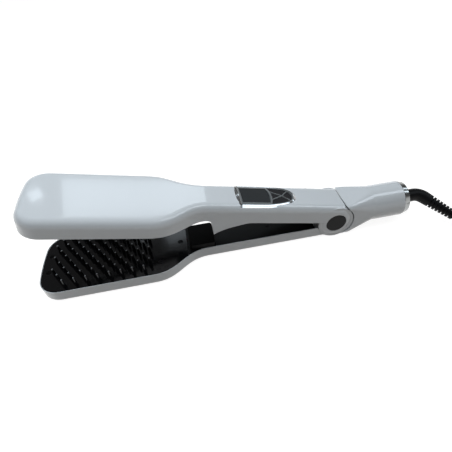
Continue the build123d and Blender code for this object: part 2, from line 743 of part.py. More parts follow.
with BuildPart() as display_bezel:
    extrude(bezel_outline(bezel_bottom, 0), amount=bezel_crown - bezel_bottom + 1)
    rise = bezel_crown - bezel_edge_top
    crown_curve = (bezel_half**2 + rise**2) / (2 * rise)
    with BuildSketch(cross(upper_plan, -bezel_front - 2)):
        with Locations((0, bezel_crown - crown_curve)):
            Circle(crown_curve)
    extrude(amount=bezel_front, mode=Mode.INTERSECT)
    extrude(window_outline(bezel_bottom, 0), amount=bezel_crown, mode=Mode.SUBTRACT)
    extrude(button_faces(bezel_bottom, 0), amount=bezel_crown, mode=Mode.SUBTRACT)
    with BuildSketch(upper_plan.offset(web_top)):
        add(bezel_outline(0, bezel_band).moved(Location(upper_plan).inverse()))
        with Locations((bow_centre, 0)):
            Circle(bow_radius + divider_width, mode=Mode.SUBTRACT)
    extrude(amount=2, mode=Mode.SUBTRACT)
display_bezel.part.label = "display_bezel"
export_step(display_bezel.part, "parts/display_bezel.step")

with BuildPart() as display_window:
    extrude(window_outline(window_top - window_thickness, layer_gap), amount=window_thickness)
display_window.part.label = "display_window"
export_step(display_window.part, "parts/display_window.step")

lcd_top = window_top - window_thickness - layer_gap
with BuildPart() as lcd_module:
    lcd_half = window_half - lcd_margin
    lcd_edges = (-window_front + lcd_margin, -window_rear - lcd_margin, -lcd_half, lcd_half)
    extrude(rectangle(upper_plan, board_top + layer_gap, *lcd_edges), amount=lcd_top - board_top - layer_gap)
lcd_module.part.label = "lcd_module"
export_step(lcd_module.part, "parts/lcd_module.step")

caps = button_faces(button_bottom, button_gap)
button_names = {
    "power_button": caps[0],
    "temperature_up_button": caps[1:3].sort_by(Axis.Y)[-1],
    "temperature_down_button": caps[1:3].sort_by(Axis.Y)[0],
    "steam_button": caps[3],
}
for name, cap in button_names.items():
    with BuildPart() as button:
        extrude(cap, amount=button_top - button_bottom)
        button_edges = button.edges().sort_by(Axis(hinge_point, upper_up))
        chamfer(button_edges[-len(cap.edges()):], length=button_chamfer)
    button.part.label = name
    export_step(button.part, f"parts/{name}.step")

switch_spots = [upper_plan.to_local_coords(cap.center()) for cap in button_names.values()]
switch_spots = [(spot.X, spot.Y) for spot in switch_spots]
with BuildPart() as tact_switches:
    with BuildSketch(upper_plan.offset(board_top + layer_gap)):
        with Locations(*switch_spots):
            Rectangle(switch_size, switch_size)
    extrude(amount=switch_height)
    plunger_top = button_bottom - button_travel - layer_gap
    plungers = discs(upper_plan, plunger_top, switch_spots, switch_plunger_radius)
    extrude(plungers, amount=board_top + layer_gap - plunger_top)
tact_switches.part.label = "tact_switches"
export_step(tact_switches.part, "parts/tact_switches.step")

board_bottom = board_top - board_thickness
with BuildPart() as main_board:
    board_plan = rectangle(upper_plan, board_bottom, -board_front, -board_rear, -board_half, board_half)
    extrude(board_plan, amount=board_thickness)
    extrude(discs(upper_plan, board_bottom, board_bosses, pilot), amount=board_thickness, mode=Mode.SUBTRACT)
main_board.part.label = "main_board"
export_step(main_board.part, "parts/main_board.step")

board_head_face = board_bottom - screw_head_height
screw_set("board_screws", upper_plan, board_bosses, board_bottom, board_head_face, board_top + board_bite)

# ---------------------------------------------------------------- hinge
with BuildPart() as hinge_pin:
    pin_half = handle_half - cap_thickness - pin_end_gap
    extrude(side_disc(lower_side, 0, (0, 0), pin_radius), amount=pin_half, both=True)
    chamfer(hinge_pin.edges().filter_by(GeomType.CIRCLE), length=0.4)
hinge_pin.part.label = "hinge_pin"
export_step(hinge_pin.part, "parts/hinge_pin.step")

bush_bore = pin_radius + running_clearance
bush_outer = bush_bore + bush_wall
with BuildPart() as hinge_bushes:
    for way in (-1, 1):
        sleeve = side_disc(lower_side, way * lug_outer, (0, 0), bush_outer)
        extrude(sleeve, amount=way * (lug_outer - lug_inner))
        flange = side_disc(lower_side, way * lug_inner, (0, 0), bush_outer + bush_wall)
        extrude(flange, amount=way * bush_flange)
    extrude(side_disc(lower_side, 0, (0, 0), bush_bore), amount=handle_half, both=True, mode=Mode.SUBTRACT)
hinge_bushes.part.label = "hinge_bushes"
export_step(hinge_bushes.part, "parts/hinge_bushes.step")

for name, way in {"hinge_cap_front": -1, "hinge_cap_rear": 1}.items():
    with BuildPart() as hinge_cap:
        cap_face = side_disc(upper_side, way * handle_half, (0, 0), cap_radius)
        extrude(cap_face, amount=way * (cap_thickness - layer_gap))
        outer_rim = hinge_cap.edges().filter_by(GeomType.CIRCLE).sort_by(Axis.Y)[0 if way < 0 else -1]
        fillet(outer_rim, radius=0.3)
    hinge_cap.part.label = name
    export_step(hinge_cap.part, f"parts/{name}.step")


def rod(start, end, radius):
    """Straight wire between two points."""
    run = Vector(end) - Vector(start)
    return Plane(origin=start, z_dir=run).location * Cylinder(
        radius, run.length, align=(Align.CENTER, Align.CENTER, Align.MIN)
    )


coil_start = Vector(0, -spring_turns * spring_pitch / 2, hinge_height + spring_radius)
coil_finish = Vector(0, spring_turns * spring_pitch / 2, hinge_height + spring_radius)
leg_seat = spring_wire + layer_gap
cover_contact = upper_plan.from_local_coords(Vector(-spring_reach_front, coil_start.Y, cover_face - leg_seat))
knee = upper_plan.from_local_coords(Vector(cover_high, coil_start.Y, cover_face - 2 * leg_seat))
front_leg = rod(coil_start, knee, spring_wire) + rod(knee, cover_contact, spring_wire)
front_leg += Pos(knee) * Sphere(spring_wire)
roof_contact = (spring_reach_rear, coil_finish.Y, hinge_height + tunnel_top - leg_seat)
rear_leg = rod(coil_finish, roof_contact, spring_wire)

with BuildPart() as arm_spring:
    with BuildLine() as coils:
        Helix(
            pitch=spring_pitch,
            height=spring_turns * spring_pitch,
            radius=spring_radius,
            center=(0, coil_start.Y, hinge_height),
            direction=(0, 1, 0),
        )
    with BuildSketch(Plane(coils.line @ 0, z_dir=coils.line % 0)):
        Circle(spring_wire)
    sweep(is_frenet=True)
    add([front_leg, rear_leg])
arm_spring.part.label = "arm_spring"
export_step(arm_spring.part, "parts/arm_spring.step")

# ---------------------------------------------------------------- lower arm
tongue_base = belly + wall + layer_gap
tongue_screw_y = lug_inner - 0.5
tongue_screw_spots = [(-x, y) for x in tongue_screw_x for y in (-tongue_screw_y, tongue_screw_y)]
bed_tip_x = bed_tip_inset - lower_length
bed_bosses = [
    (bed_tip_x, -bed_boss_tip),
    (bed_tip_x, bed_boss_tip),
    (-bed_boss_middle, -bed_boss_neck),
    (-bed_boss_middle, bed_boss_neck),
    (-bed_boss_rear, 0),
]
bed_top = lower_rim - bed_drop
bed_bottom = bed_top - bed_thickness
carrier_top = bed_bottom - layer_gap
carrier_bottom = carrier_top - carrier_thickness
handle_cover_top = lower_rim - handle_cover_drop
handle_cover_bosses = [(-x, 0) for x in handle_boss_x]
handle_cover_bottom = handle_cover_top - bed_thickness
ear_clearance = ear_radius + slide_gap

with BuildPart() as lower_arm_shell:
    extrude(lower_outline(belly, 0, high=-tray_end), amount=lower_rim - belly)
    belly_edges = lower_arm_shell.faces().sort_by(Axis.Z)[0].edges()
    fillet(belly_edges.filter_by(lambda e: e.center().X < -tray_end - 1), radius=belly_radius)
    hollow = lower_outline(belly + wall, wall, high=-tray_end)
    extrude(hollow, amount=lower_rim - belly, mode=Mode.SUBTRACT)
    rebate = lower_outline(bed_bottom, rim_width, high=-tray_end)
    extrude(rebate, amount=lower_rim - bed_bottom, mode=Mode.SUBTRACT)
    for way in (-1, 1):
        recess = side_disc(lower_side, way * handle_half, (0, 0), ear_clearance)
        extrude(recess, amount=way * (handle_half - lower_handle_half + wall + fit_gap), mode=Mode.SUBTRACT)
    bed_posts = discs(lower_plan, belly + wall / 2, bed_bosses, boss_radius)
    extrude(bed_posts, amount=bed_bottom - belly - wall / 2)
    cover_posts = discs(lower_plan, belly + wall / 2, handle_cover_bosses, boss_radius)
    extrude(cover_posts, amount=handle_cover_bottom - belly - wall / 2)
    extrude(discs(lower_plan, belly, tongue_screw_spots, pilot), amount=wall, mode=Mode.SUBTRACT)
    extrude(discs(lower_plan, belly, tongue_screw_spots, head_hole), amount=wall / 2, mode=Mode.SUBTRACT)
    bed_pilots = discs(lower_plan, bed_bottom, bed_bosses, pilot)
    extrude(bed_pilots, amount=-screw_bite - pilot_spare, mode=Mode.SUBTRACT)
    cover_pilots = discs(lower_plan, handle_cover_bottom, handle_cover_bosses, pilot)
    extrude(cover_pilots, amount=-screw_bite - pilot_spare, mode=Mode.SUBTRACT)
lower_arm_shell.part.label = "lower_arm_shell"
export_step(lower_arm_shell.part, "parts/lower_arm_shell.step")

tip_corner_x = -lower_length + tip_bulge + corner_radius
tip_corner_y = lower_paddle_half - corner_radius
bristle_margin = wall + fit_gap + 2.6
columns = round((bristle_first - bristle_last) / bristle_pitch_x)
bristle_spots = []
for row in range(bristle_rows):
    offset_rows = row - (bristle_rows - 1) / 2
    stagger = bristle_pitch_x / 2 if row % 2 else 0.0
    for column in range(columns + 1):
        x = -bristle_first + stagger + column * bristle_pitch_x
        y = offset_rows * bristle_pitch_y
        out = hypot(max(tip_corner_x - x, 0), max(abs(y) - tip_corner_y, 0))
        if x <= -bristle_last and out <= corner_radius - bristle_margin:
            bristle_spots.append((x, y))

with BuildPart() as brush_bed:
    extrude(lower_outline(bed_bottom, rim_width + fit_gap, high=-bed_end), amount=bed_thickness)
    bed_holes = discs(lower_plan, bed_bottom, bristle_spots, bristle_root + running_clearance)
    extrude(bed_holes, amount=bed_thickness, mode=Mode.SUBTRACT)
    extrude(discs(lower_plan, bed_bottom, bed_bosses, pilot), amount=bed_thickness, mode=Mode.SUBTRACT)
    extrude(discs(lower_plan, bed_top, bed_bosses, head_hole), amount=-bed_thickness / 2, mode=Mode.SUBTRACT)
brush_bed.part.label = "brush_bed"
export_step(brush_bed.part, "parts/brush_bed.step")

bristle_top = bed_top + bristle_height
with BuildPart() as bristle:
    with BuildSketch(Plane.XZ):
        with BuildLine():
            rise = bristle_top - carrier_top
            Polyline((0, rise), (0, -0.2), (bristle_root, -0.2), (bristle_root, bed_thickness))
            Line((bristle_root, bed_thickness), (bristle_tip, rise - bristle_tip))
            CenterArc((0, rise - bristle_tip), bristle_tip, 0, 90)
        make_face()
    revolve(axis=Axis.Z)

comb_inset = wall + 4 * fit_gap
comb_start = -bristle_first - 2 * bristle_root
comb_end = -bristle_last + 2 * bristle_root
with BuildPart() as bristle_comb:
    extrude(lower_outline(carrier_bottom, comb_inset, comb_start, comb_end), amount=carrier_thickness)
    with Locations(*[(x, y, hinge_height + carrier_top) for x, y in bristle_spots]):
        add(bristle.part)
bristle_comb.part.label = "bristle_comb"
export_step(bristle_comb.part, "parts/bristle_comb.step")

bed_heater_top = carrier_bottom - layer_gap
spread = (-bristle_first, -bristle_last, -bed_heater_half, bed_heater_half)
mains_lead_sides = [boss_radius + fit_gap + mains_lead_radius]
mains_lead_sides.append(mains_lead_sides[0] + 2 * mains_lead_radius + layer_gap)
mains_lead_start = comb_end + fit_gap
with BuildPart() as bed_heater:
    extrude(rectangle(lower_plan, bed_heater_top, *spread), amount=-heater_thickness)
    for y in mains_lead_sides:
        terminal = (-bristle_last, mains_lead_start, y - mains_lead_radius / 2, y + mains_lead_radius / 2)
        extrude(rectangle(lower_plan, bed_heater_top, *terminal), amount=-heater_thickness)
bed_heater.part.label = "bed_heater"
export_step(bed_heater.part, "parts/bed_heater.step")

bed_mica_top = bed_heater_top - heater_thickness - layer_gap
spacer_top = bed_mica_top - mica_thickness
with BuildPart() as bed_insulator:
    extrude(rectangle(lower_plan, bed_mica_top, *spread), amount=-mica_thickness)
    with BuildSketch(lower_plan.offset(spacer_top)):
        with Locations(((-bristle_first - bristle_last) / 2, 0)):
            with GridLocations(*spacer_pitch, 2, 2):
                Circle(spacer_radius)
    extrude(amount=-(spacer_top - belly - wall - layer_gap))
bed_insulator.part.label = "bed_insulator"
export_step(bed_insulator.part, "parts/bed_insulator.step")

bed_seat = bed_top - bed_thickness / 2
screw_set("bed_screws", lower_plan, bed_bosses, bed_seat, bed_top - layer_gap, bed_bottom - screw_bite)

with BuildPart() as lower_handle_cover:
    cover_ends = (-bed_end + fit_gap, -ear_radius - 2)
    extrude(lower_outline(handle_cover_bottom, rim_width + fit_gap, *cover_ends), amount=bed_thickness)
    shaft_holes = discs(lower_plan, handle_cover_bottom, handle_cover_bosses, pilot)
    extrude(shaft_holes, amount=bed_thickness, mode=Mode.SUBTRACT)
    head_holes = discs(lower_plan, handle_cover_top, handle_cover_bosses, head_hole)
    extrude(head_holes, amount=-bed_thickness / 2, mode=Mode.SUBTRACT)
lower_handle_cover.part.label = "lower_handle_cover"
export_step(lower_handle_cover.part, "parts/lower_handle_cover.step")

handle_seat = handle_cover_top - bed_thickness / 2
handle_head = handle_cover_top - layer_gap
handle_end = handle_cover_bottom - screw_bite
screw_set("handle_cover_screws", lower_plan, handle_cover_bosses, handle_seat, handle_head, handle_end)

tongue_seat = belly + wall / 2
tongue_screw_end = tongue_base + tongue_thickness - layer_gap
screw_set("tongue_screws", lower_plan, tongue_screw_spots, tongue_seat, belly + layer_gap, tongue_screw_end)

# ---------------------------------------------------------------- rear housing
swivel_line = Axis((0, 0, swivel_height), (1, 0, 0))
barrel_side = Plane(origin=(0, 0, swivel_height), x_dir=(1, 0, 0), z_dir=(0, -1, 0))
block_top = handle_top - 0.8
seam_radius = ear_radius + seam_gap
bore_start = block_end + bore_depth


def turned(points):
    """Ring about the swivel axis, from its half section of (x, radius) points."""
    with BuildPart() as ring:
        with BuildSketch(barrel_side):
            with BuildLine():
                Polyline(*points, close=True)
            make_face()
        revolve(axis=swivel_line)
    return ring.part


with BuildSketch(upper_side) as seam_profile:
    with BuildLine():
        seam_x = seam_radius * cos(radians(seam_angle))
        seam_z = seam_radius * sin(radians(seam_angle))
        slope = Vector(shell_rear - tangent_x, handle_top - tangent_z).normalized()
        far = (seam_x + 12 * slope.X, seam_z + 12 * slope.Y)
        ahead = -2 * ear_radius
        Polyline((seam_x, seam_z), far, (ahead, far[1]), (ahead, 0), (-seam_radius, 0))
        CenterArc((0, 0), seam_radius, -180, 180 + seam_angle)
    make_face()


def block_section(x):
    """Rounded rectangle of the housing's front block."""
    with BuildSketch(cross(lower_plan, x)) as face:
        with Locations((0, (block_top + belly) / 2)):
            RectangleRounded(2 * handle_half, block_top - belly, block_corner)
    return face.sketch


def barrel_section(x):
    """Section of the barrel: a rounded square that is all but a circle."""
    with BuildSketch(barrel_plane(x)) as face:
        RectangleRounded(2 * barrel_radius, 2 * barrel_radius, barrel_radius - barrel_flat)
    return face.sketch


with BuildPart() as rear_housing:
    extrude(block_section(0), amount=block_end)
    loft([block_section(block_end).face(), barrel_section(barrel_start).face()])
    extrude(barrel_section(barrel_start), amount=barrel_end - barrel_start)
    extrude(seam_profile.sketch, amount=2 * handle_half, both=True, mode=Mode.SUBTRACT)
    with BuildSketch(barrel_plane(bore_start)):
        Circle(barrel_bore)
    extrude(amount=barrel_end - bore_start, mode=Mode.SUBTRACT)
    tunnel = rectangle(lower_plan, tunnel_low, 0, bore_start + wall, -tunnel_half, tunnel_half)
    extrude(tunnel, amount=tunnel_top - tunnel_low, mode=Mode.SUBTRACT)
    strip = rectangle(lower_plan, belly, -tray_end + layer_gap, seam_radius, -lug_outer, lug_outer)
    extrude(strip, amount=wall + layer_gap)
    tongue_half = lower_handle_half - wall - fit_gap
    tongue = rectangle(lower_plan, tongue_base, -tongue_length, seam_radius, -tongue_half, tongue_half)
    extrude(tongue, amount=tongue_thickness)
    for way in (-1, 1):
        lug = side_disc(lower_side, way * lug_outer, (0, 0), lug_radius)
        extrude(lug, amount=way * (lug_outer - lug_inner))
        web_sides = sorted((way * lug_inner, way * lug_outer))
        web = rectangle(lower_plan, tongue_base, -lug_radius, lug_radius, *web_sides)
        extrude(web, amount=-tongue_base)
    lug_bore = side_disc(lower_side, 0, (0, 0), bush_outer)
    extrude(lug_bore, amount=handle_half, both=True, mode=Mode.SUBTRACT)
    tongue_pilots = discs(lower_plan, tongue_base, tongue_screw_spots, pilot)
    extrude(tongue_pilots, amount=tongue_thickness, mode=Mode.SUBTRACT)
rear_housing.part.label = "rear_housing"
export_step(rear_housing.part, "parts/rear_housing.step")

with BuildPart() as mains_leads:
    with BuildSketch(cross(lower_plan, mains_lead_start + layer_gap)):
        with Locations(*[(y, mains_lead_z) for y in mains_lead_sides]):
            Circle(mains_lead_radius)
    extrude(amount=bore_start - mains_lead_start)
mains_leads.part.label = "mains_leads"
export_step(mains_leads.part, "parts/mains_leads.step")

power_board_base = swivel_rise - power_board_drop
power_board_half = sqrt((barrel_bore - fit_gap) ** 2 - power_board_drop**2)
with BuildPart() as power_board:
    board_edges = (power_board_front, power_board_rear, -power_board_half, power_board_half)
    extrude(rectangle(lower_plan, power_board_base, *board_edges), amount=board_thickness)
power_board.part.label = "power_board"
export_step(power_board.part, "parts/power_board.step")

component_base = power_board_base + board_thickness + layer_gap
with BuildPart() as power_components:
    for x_low, x_high, y_low, y_high, tall in board_blocks:
        footprint = (power_board_front + x_low, power_board_front + x_high, y_low, y_high)
        extrude(rectangle(lower_plan, component_base, *footprint), amount=tall)
    can_spot = (power_board_front + can_centre[0], can_centre[1])
    extrude(discs(lower_plan, component_base, [can_spot], can_radius), amount=can_height)
power_components.part.label = "power_components"
export_step(power_components.part, "parts/power_components.step")

# ---------------------------------------------------------------- collar and swivel
collar_end = barrel_end + collar_length
cap_inner = collar_end - collar_face
spigot_radius = barrel_bore - layer_gap
core_flange_front = cap_inner - flange_play
core_neck = collar_bore - running_clearance
socket_end = core_flange_front - core_flange - 2 * flange_play

spigot_start = barrel_end - collar_spigot
flange_room = core_flange_radius + 0.5
cord_collar = turned([
    (barrel_end + layer_gap, barrel_radius),
    (collar_end, collar_end_radius),
    (collar_end, collar_bore),
    (cap_inner, collar_bore),
    (cap_inner, flange_room),
    (spigot_start, flange_room),
    (spigot_start, spigot_radius),
    (barrel_end + layer_gap, spigot_radius),
])
cord_collar.label = "cord_collar"
export_step(cord_collar, "parts/cord_collar.step")

swivel_socket = turned([
    (socket_end - socket_length, 0),
    (socket_end - socket_length, spigot_radius),
    (spigot_start - layer_gap, spigot_radius),
    (spigot_start - layer_gap, flange_room - layer_gap),
    (socket_end, flange_room - layer_gap),
    (socket_end, stub_radius + 2 * running_clearance),
    (socket_end - stub_length, stub_radius + 2 * running_clearance),
    (socket_end - stub_length, 0),
])
swivel_socket.label = "swivel_socket"
export_step(swivel_socket, "parts/swivel_socket.step")

swivel_core = turned([
    (socket_end - stub_length + fit_gap, 0),
    (socket_end - stub_length + fit_gap, stub_radius),
    (core_flange_front - core_flange, stub_radius),
    (core_flange_front - core_flange, core_flange_radius),
    (core_flange_front, core_flange_radius),
    (core_flange_front, core_neck),
    (collar_end, core_neck),
    (collar_end, 0),
])
swivel_core.label = "swivel_core"
export_step(swivel_core, "parts/swivel_core.step")

bend = radians(relief_angle)
tilt = radians(relief_tilt)
sideways = Vector(0, -cos(tilt), -sin(tilt))
bend_start = Vector(collar_end + relief_straight, 0, swivel_height)
bend_axis = Vector(1, 0, 0).cross(sideways)
relief_way = Vector(cos(bend), 0, 0) + sideways * sin(bend)
bend_end = bend_start + Vector(relief_bend * sin(bend), 0, 0) + sideways * (relief_bend * (1 - cos(bend)))
relief_tip = bend_end + relief_way * relief_length


def taper(distance):
    """Radius of the relief's tapered end at a distance from the elbow."""
    return relief_root + (relief_end_radius - relief_root) * distance / relief_length


with BuildPart() as strain_relief:
    with BuildSketch(barrel_plane(collar_end + layer_gap)):
        Circle(relief_root)
    extrude(amount=relief_straight - layer_gap)
    with BuildSketch(Plane(origin=bend_start, x_dir=sideways, z_dir=(1, 0, 0))):
        Circle(relief_root)
    revolve(axis=Axis(bend_start + sideways * relief_bend, bend_axis), revolution_arc=relief_angle)
    with BuildSketch(Plane(origin=bend_end, x_dir=relief_way, z_dir=bend_axis)):
        with BuildLine():
            end_corner = (relief_length, relief_end_radius)
            Polyline((0, 0), (relief_length, 0), end_corner, (0, relief_root), close=True)
        make_face()
        for i in range(relief_slots):
            at = relief_length - (i + 1) * relief_slot_pitch
            with Locations((at, taper(at))):
                Rectangle(relief_slot_width, 2 * relief_slot_depth, mode=Mode.SUBTRACT)
    revolve(axis=Axis(bend_end, relief_way))
strain_relief.part.label = "strain_relief"
export_step(strain_relief.part, "parts/strain_relief.step")

# ---------------------------------------------------------------- mains cord, coil and plug
coil_x, coil_y = coil_centre
lead_points = [
    relief_tip,
    relief_tip + relief_way * lead_straight,
    Vector(121.5, -43.0, 3.0),
    Vector(134.5, -47.4, 3.0),
    Vector(148.5, -48.5, 3.0),
    Vector(161.0, -48.6, 3.0),
]


def corner_radii(points):
    """Arc radius for each inner point of a cord's route, as large as its two runs allow."""
    radii = []
    for before, here, after in zip(points, points[1:], points[2:]):
        turn = radians((here - before).get_angle(after - here))
        radii.append(0.45 * min((here - before).length, (after - here).length) / tan(turn / 2))
    return radii


def cord_tube(points):
    """Round tube along a route of straight runs joined by tangent arcs."""
    radii = corner_radii(points)
    print("cord radii", [round(radius, 1) for radius in radii])
    with BuildPart() as tube:
        with BuildLine() as route:
            FilletPolyline(*points, radius=radii)
        with BuildSketch(Plane(route.line @ 0, z_dir=route.line % 0)):
            Circle(cord_radius)
        sweep()
    swept = pi * cord_radius**2 * route.wire().length
    print("cord volume over section times length", round(tube.part.volume / swept, 4))
    return tube.part


cord_lead = cord_tube(lead_points)
cord_lead.label = "cord_lead"
export_step(cord_lead, "parts/cord_lead.step")

with BuildPart() as cord_coil:
    with BuildSketch(Plane.XY):
        with Locations(coil_centre):
            Circle(coil_radius + coil_width / 2)
            Circle(coil_radius - coil_width / 2, mode=Mode.SUBTRACT)
    extrude(amount=coil_height)
    fillet(cord_coil.edges().filter_by(GeomType.CIRCLE), radius=cord_radius)
cord_coil.part.label = "cord_coil"
export_step(cord_coil.part, "parts/cord_coil.step")

with BuildPart() as coil_tie:
    tie_height = coil_height + tie_thickness
    with BuildSketch(Plane(origin=(coil_x, coil_y + coil_radius, 0), x_dir=(0, 1, 0), z_dir=(1, 0, 0))):
        with Locations((0, tie_height / 2)):
            RectangleRounded(coil_width + 2 * tie_thickness, tie_height, cord_radius)
            inner_size = (coil_width - tie_thickness, tie_height - 2 * tie_thickness)
            RectangleRounded(*inner_size, cord_radius, mode=Mode.SUBTRACT)
    extrude(amount=tie_width / 2, both=True)
coil_tie.part.label = "coil_tie"
export_step(coil_tie.part, "parts/coil_tie.step")

plug_x, plug_y = plug_start
plug_axis = coil_height + plug_height / 2
plug_side = plug_y + plug_width / 2
shoulder_x = plug_x + plug_taper
with BuildPart() as plug_body:
    with BuildSketch(Plane.XY.offset(coil_height)):
        with BuildLine():
            Line((plug_x, plug_y), (plug_x, plug_y + plug_neck))
            Bezier(
                (plug_x, plug_y + plug_neck),
                (plug_x + plug_neck, plug_y + plug_neck),
                (shoulder_x - 2 * plug_neck, plug_side),
                (shoulder_x, plug_side),
            )
            Line((shoulder_x, plug_side), (plug_x + plug_length, plug_side))
            Line((plug_x + plug_length, plug_side), (plug_x + plug_length, plug_y))
            mirror(about=Plane(origin=(0, plug_y, 0), z_dir=(0, 1, 0)))
        make_face()
    extrude(amount=plug_height)
    fillet(plug_body.edges().filter_by(Axis.Z), radius=plug_edge)
    fillet(plug_body.faces().sort_by(Axis.Z)[-1].edges(), radius=plug_edge)
    fillet(plug_body.faces().sort_by(Axis.Z)[0].edges(), radius=plug_edge)
plug_body.part.label = "plug_body"
export_step(plug_body.part, "parts/plug_body.step")

with BuildPart() as plug_pins:
    pin_root = (plug_x + plug_length + layer_gap, plug_y, plug_axis)
    with BuildSketch(Plane(origin=pin_root, x_dir=(0, 1, 0), z_dir=(1, 0, 0))):
        with Locations((-plug_pin_spread / 2, 0), (plug_pin_spread / 2, 0)):
            Circle(plug_pin_radius)
    extrude(amount=plug_pin_length)
    pin_tips = plug_pins.edges().filter_by(GeomType.CIRCLE).group_by(Axis.X)[-1]
    fillet(pin_tips, radius=0.75 * plug_pin_radius)
plug_pins.part.label = "plug_pins"
export_step(plug_pins.part, "parts/plug_pins.step")

tail_points = [
    Vector(131.9, -0.9, 21.0),
    Vector(131.1, -11.7, 21.4),
    Vector(133.1, -21.1, 22.8),
    Vector(137.7, -29.5, 24.9),
    Vector(144.4, -36.3, 27.1),
    Vector(152.8, -40.9, 29.1),
    Vector(162.2, -43.0, 30.4),
    Vector(plug_x, plug_y, plug_axis),
]
cord_tail = cord_tube(tail_points)
cord_tail.label = "cord_tail"
export_step(cord_tail, "parts/cord_tail.step")
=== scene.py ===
# %% [markdown]
# # A steam brush for straightening hair, lying half open
#
# The brush has two arms on one hinge. The white upper arm carries the steam plate, the tank,
# the display and the keys. The lower arm is a thin white tray with a black bed of bristles.
# The mains cord leaves through a swivel and an elbowed strain relief.
#
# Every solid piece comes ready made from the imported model, in metres, with +Z up. This
# notebook adds the camera, the light, the finishes and the parts that only a renderer needs:
# the cord as one smooth tube, the chrome rim of the display and a rubber stop pad.

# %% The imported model
from math import atan2, cos, pi, radians, sin

import bpy
from mathutils import Matrix, Quaternion, Vector


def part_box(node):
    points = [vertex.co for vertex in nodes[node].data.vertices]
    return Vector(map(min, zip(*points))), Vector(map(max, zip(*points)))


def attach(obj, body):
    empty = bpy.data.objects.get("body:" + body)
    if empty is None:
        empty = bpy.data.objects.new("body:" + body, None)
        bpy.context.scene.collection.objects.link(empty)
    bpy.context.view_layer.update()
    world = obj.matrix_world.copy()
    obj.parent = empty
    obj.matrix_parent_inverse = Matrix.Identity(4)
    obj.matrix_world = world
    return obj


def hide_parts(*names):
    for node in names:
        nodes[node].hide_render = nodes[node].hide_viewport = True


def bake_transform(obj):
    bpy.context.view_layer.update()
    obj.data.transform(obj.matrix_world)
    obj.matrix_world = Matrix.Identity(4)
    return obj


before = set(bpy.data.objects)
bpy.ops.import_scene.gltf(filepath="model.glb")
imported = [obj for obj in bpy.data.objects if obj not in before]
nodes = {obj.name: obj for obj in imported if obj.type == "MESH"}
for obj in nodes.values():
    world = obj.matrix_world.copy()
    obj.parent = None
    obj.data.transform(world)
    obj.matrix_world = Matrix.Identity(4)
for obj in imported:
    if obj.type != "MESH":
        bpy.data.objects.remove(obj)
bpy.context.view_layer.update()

# %% [markdown]
# ## A camera that stands where the viewer stands
#
# The brush is looked at from in front and above, from 43 degrees over the table. A camera
# could be aimed with a Track To constraint, but a constraint can't lean the camera to one side.
# Three directions are written out instead: backwards out of the lens, to the right, and up.
# They are the columns of the camera's matrix, and the lean is a turn of the last two.

# %% Camera
view_azimuth = radians(-6.61)
view_elevation = radians(43.48)
view_lean = radians(5.38)
view_place = Vector((-0.11752, -0.21875, 0.22861))

backwards = Vector((
    sin(view_azimuth) * cos(view_elevation),
    -cos(view_azimuth) * cos(view_elevation),
    sin(view_elevation),
))
level_right = Vector((cos(view_azimuth), sin(view_azimuth), 0))
level_up = backwards.cross(level_right)
right = level_right * cos(view_lean) - level_up * sin(view_lean)
up = level_right * sin(view_lean) + level_up * cos(view_lean)

camera_data = bpy.data.cameras.new("table_camera")
camera_data.lens = 28.47
camera_data.sensor_width = 36
camera_data.clip_start = 0.01
camera = bpy.data.objects.new("table_camera", camera_data)
camera.matrix_world = Matrix((right, up, backwards)).transposed().to_4x4()
camera.matrix_world.translation = view_place
bpy.context.scene.collection.objects.link(camera)
bpy.context.scene.camera = camera
print("camera looks along", [round(value, 3) for value in -backwards])

# %% [markdown]
# ## The mains cord
#
# A mains lead is a fixed length of soft cable, so it is one smooth line and never a chain of
# straight bits. The line is a NURBS curve: its points pull at it and it cuts their corners.
# It starts in the tip of the strain relief, comes down to the table, runs once to the side, is
# wound into a neat coil of nearly seven turns for storage, and ends in the plug on top of it.
# On the table the line runs one cord radius above the surface, so that the cord touches it.

# %% Route of the cord before and after its coil
cord_radius = 0.003
relief_tip = (0.1029065, -0.0247064, 0.0090076)
lead_route = [
    relief_tip,
    (0.1109100, -0.0343328, 0.0055040),
    (0.1215, -0.0430, cord_radius),
    (0.1345, -0.0474, cord_radius),
    (0.1485, -0.0485, cord_radius),
    (0.1610, -0.0486, cord_radius),
]
tail_route = [
    (0.1314, -0.0008, 0.0210),
    (0.1307, -0.0118, 0.0214),
    (0.1328, -0.0213, 0.0228),
    (0.1377, -0.0295, 0.0249),
    (0.1444, -0.0363, 0.0271),
    (0.1528, -0.0409, 0.0291),
    (0.1622, -0.0430, 0.0304),
    (0.1710, -0.0430, 0.0308),
]
print("points before the coil", len(lead_route), "and after it", len(tail_route))

# %% [markdown]
# A helix would be the short way to write the coil, but a helix climbs all the time, and cord
# that is wound by hand doesn't. The turns lie beside and on each other, in two rows and four
# layers. Each turn keeps its place for most of its way round and then changes its row or its
# layer within 75 degrees, a little before the turn above it needs the room. The points stand a
# little further out than the turn itself, because the curve cuts their corners.

# %% Turns of the coil
coil_centre = Vector((0.170, -0.009))
outer_row, inner_row = 0.039, 0.033
second_layer, third_layer, fourth_layer = 0.009, 0.015, 0.021
row_changes = [(365, inner_row), (1035, outer_row), (1705, inner_row), (2375, outer_row)]
layer_changes = [(700, second_layer), (1370, third_layer), (2040, fourth_layer)]
change_span = 75
coil_start, coil_end, coil_step = 90, 2490, 15


def after_changes(angle, start, changes):
    """Value at an angle of the coil, which eases from each value to the next."""
    value = start
    for change_start, target in changes:
        share = min(max((angle - change_start) / change_span, 0), 1)
        ease = share * share * (3 - 2 * share)
        value += (target - value) * ease
    return value


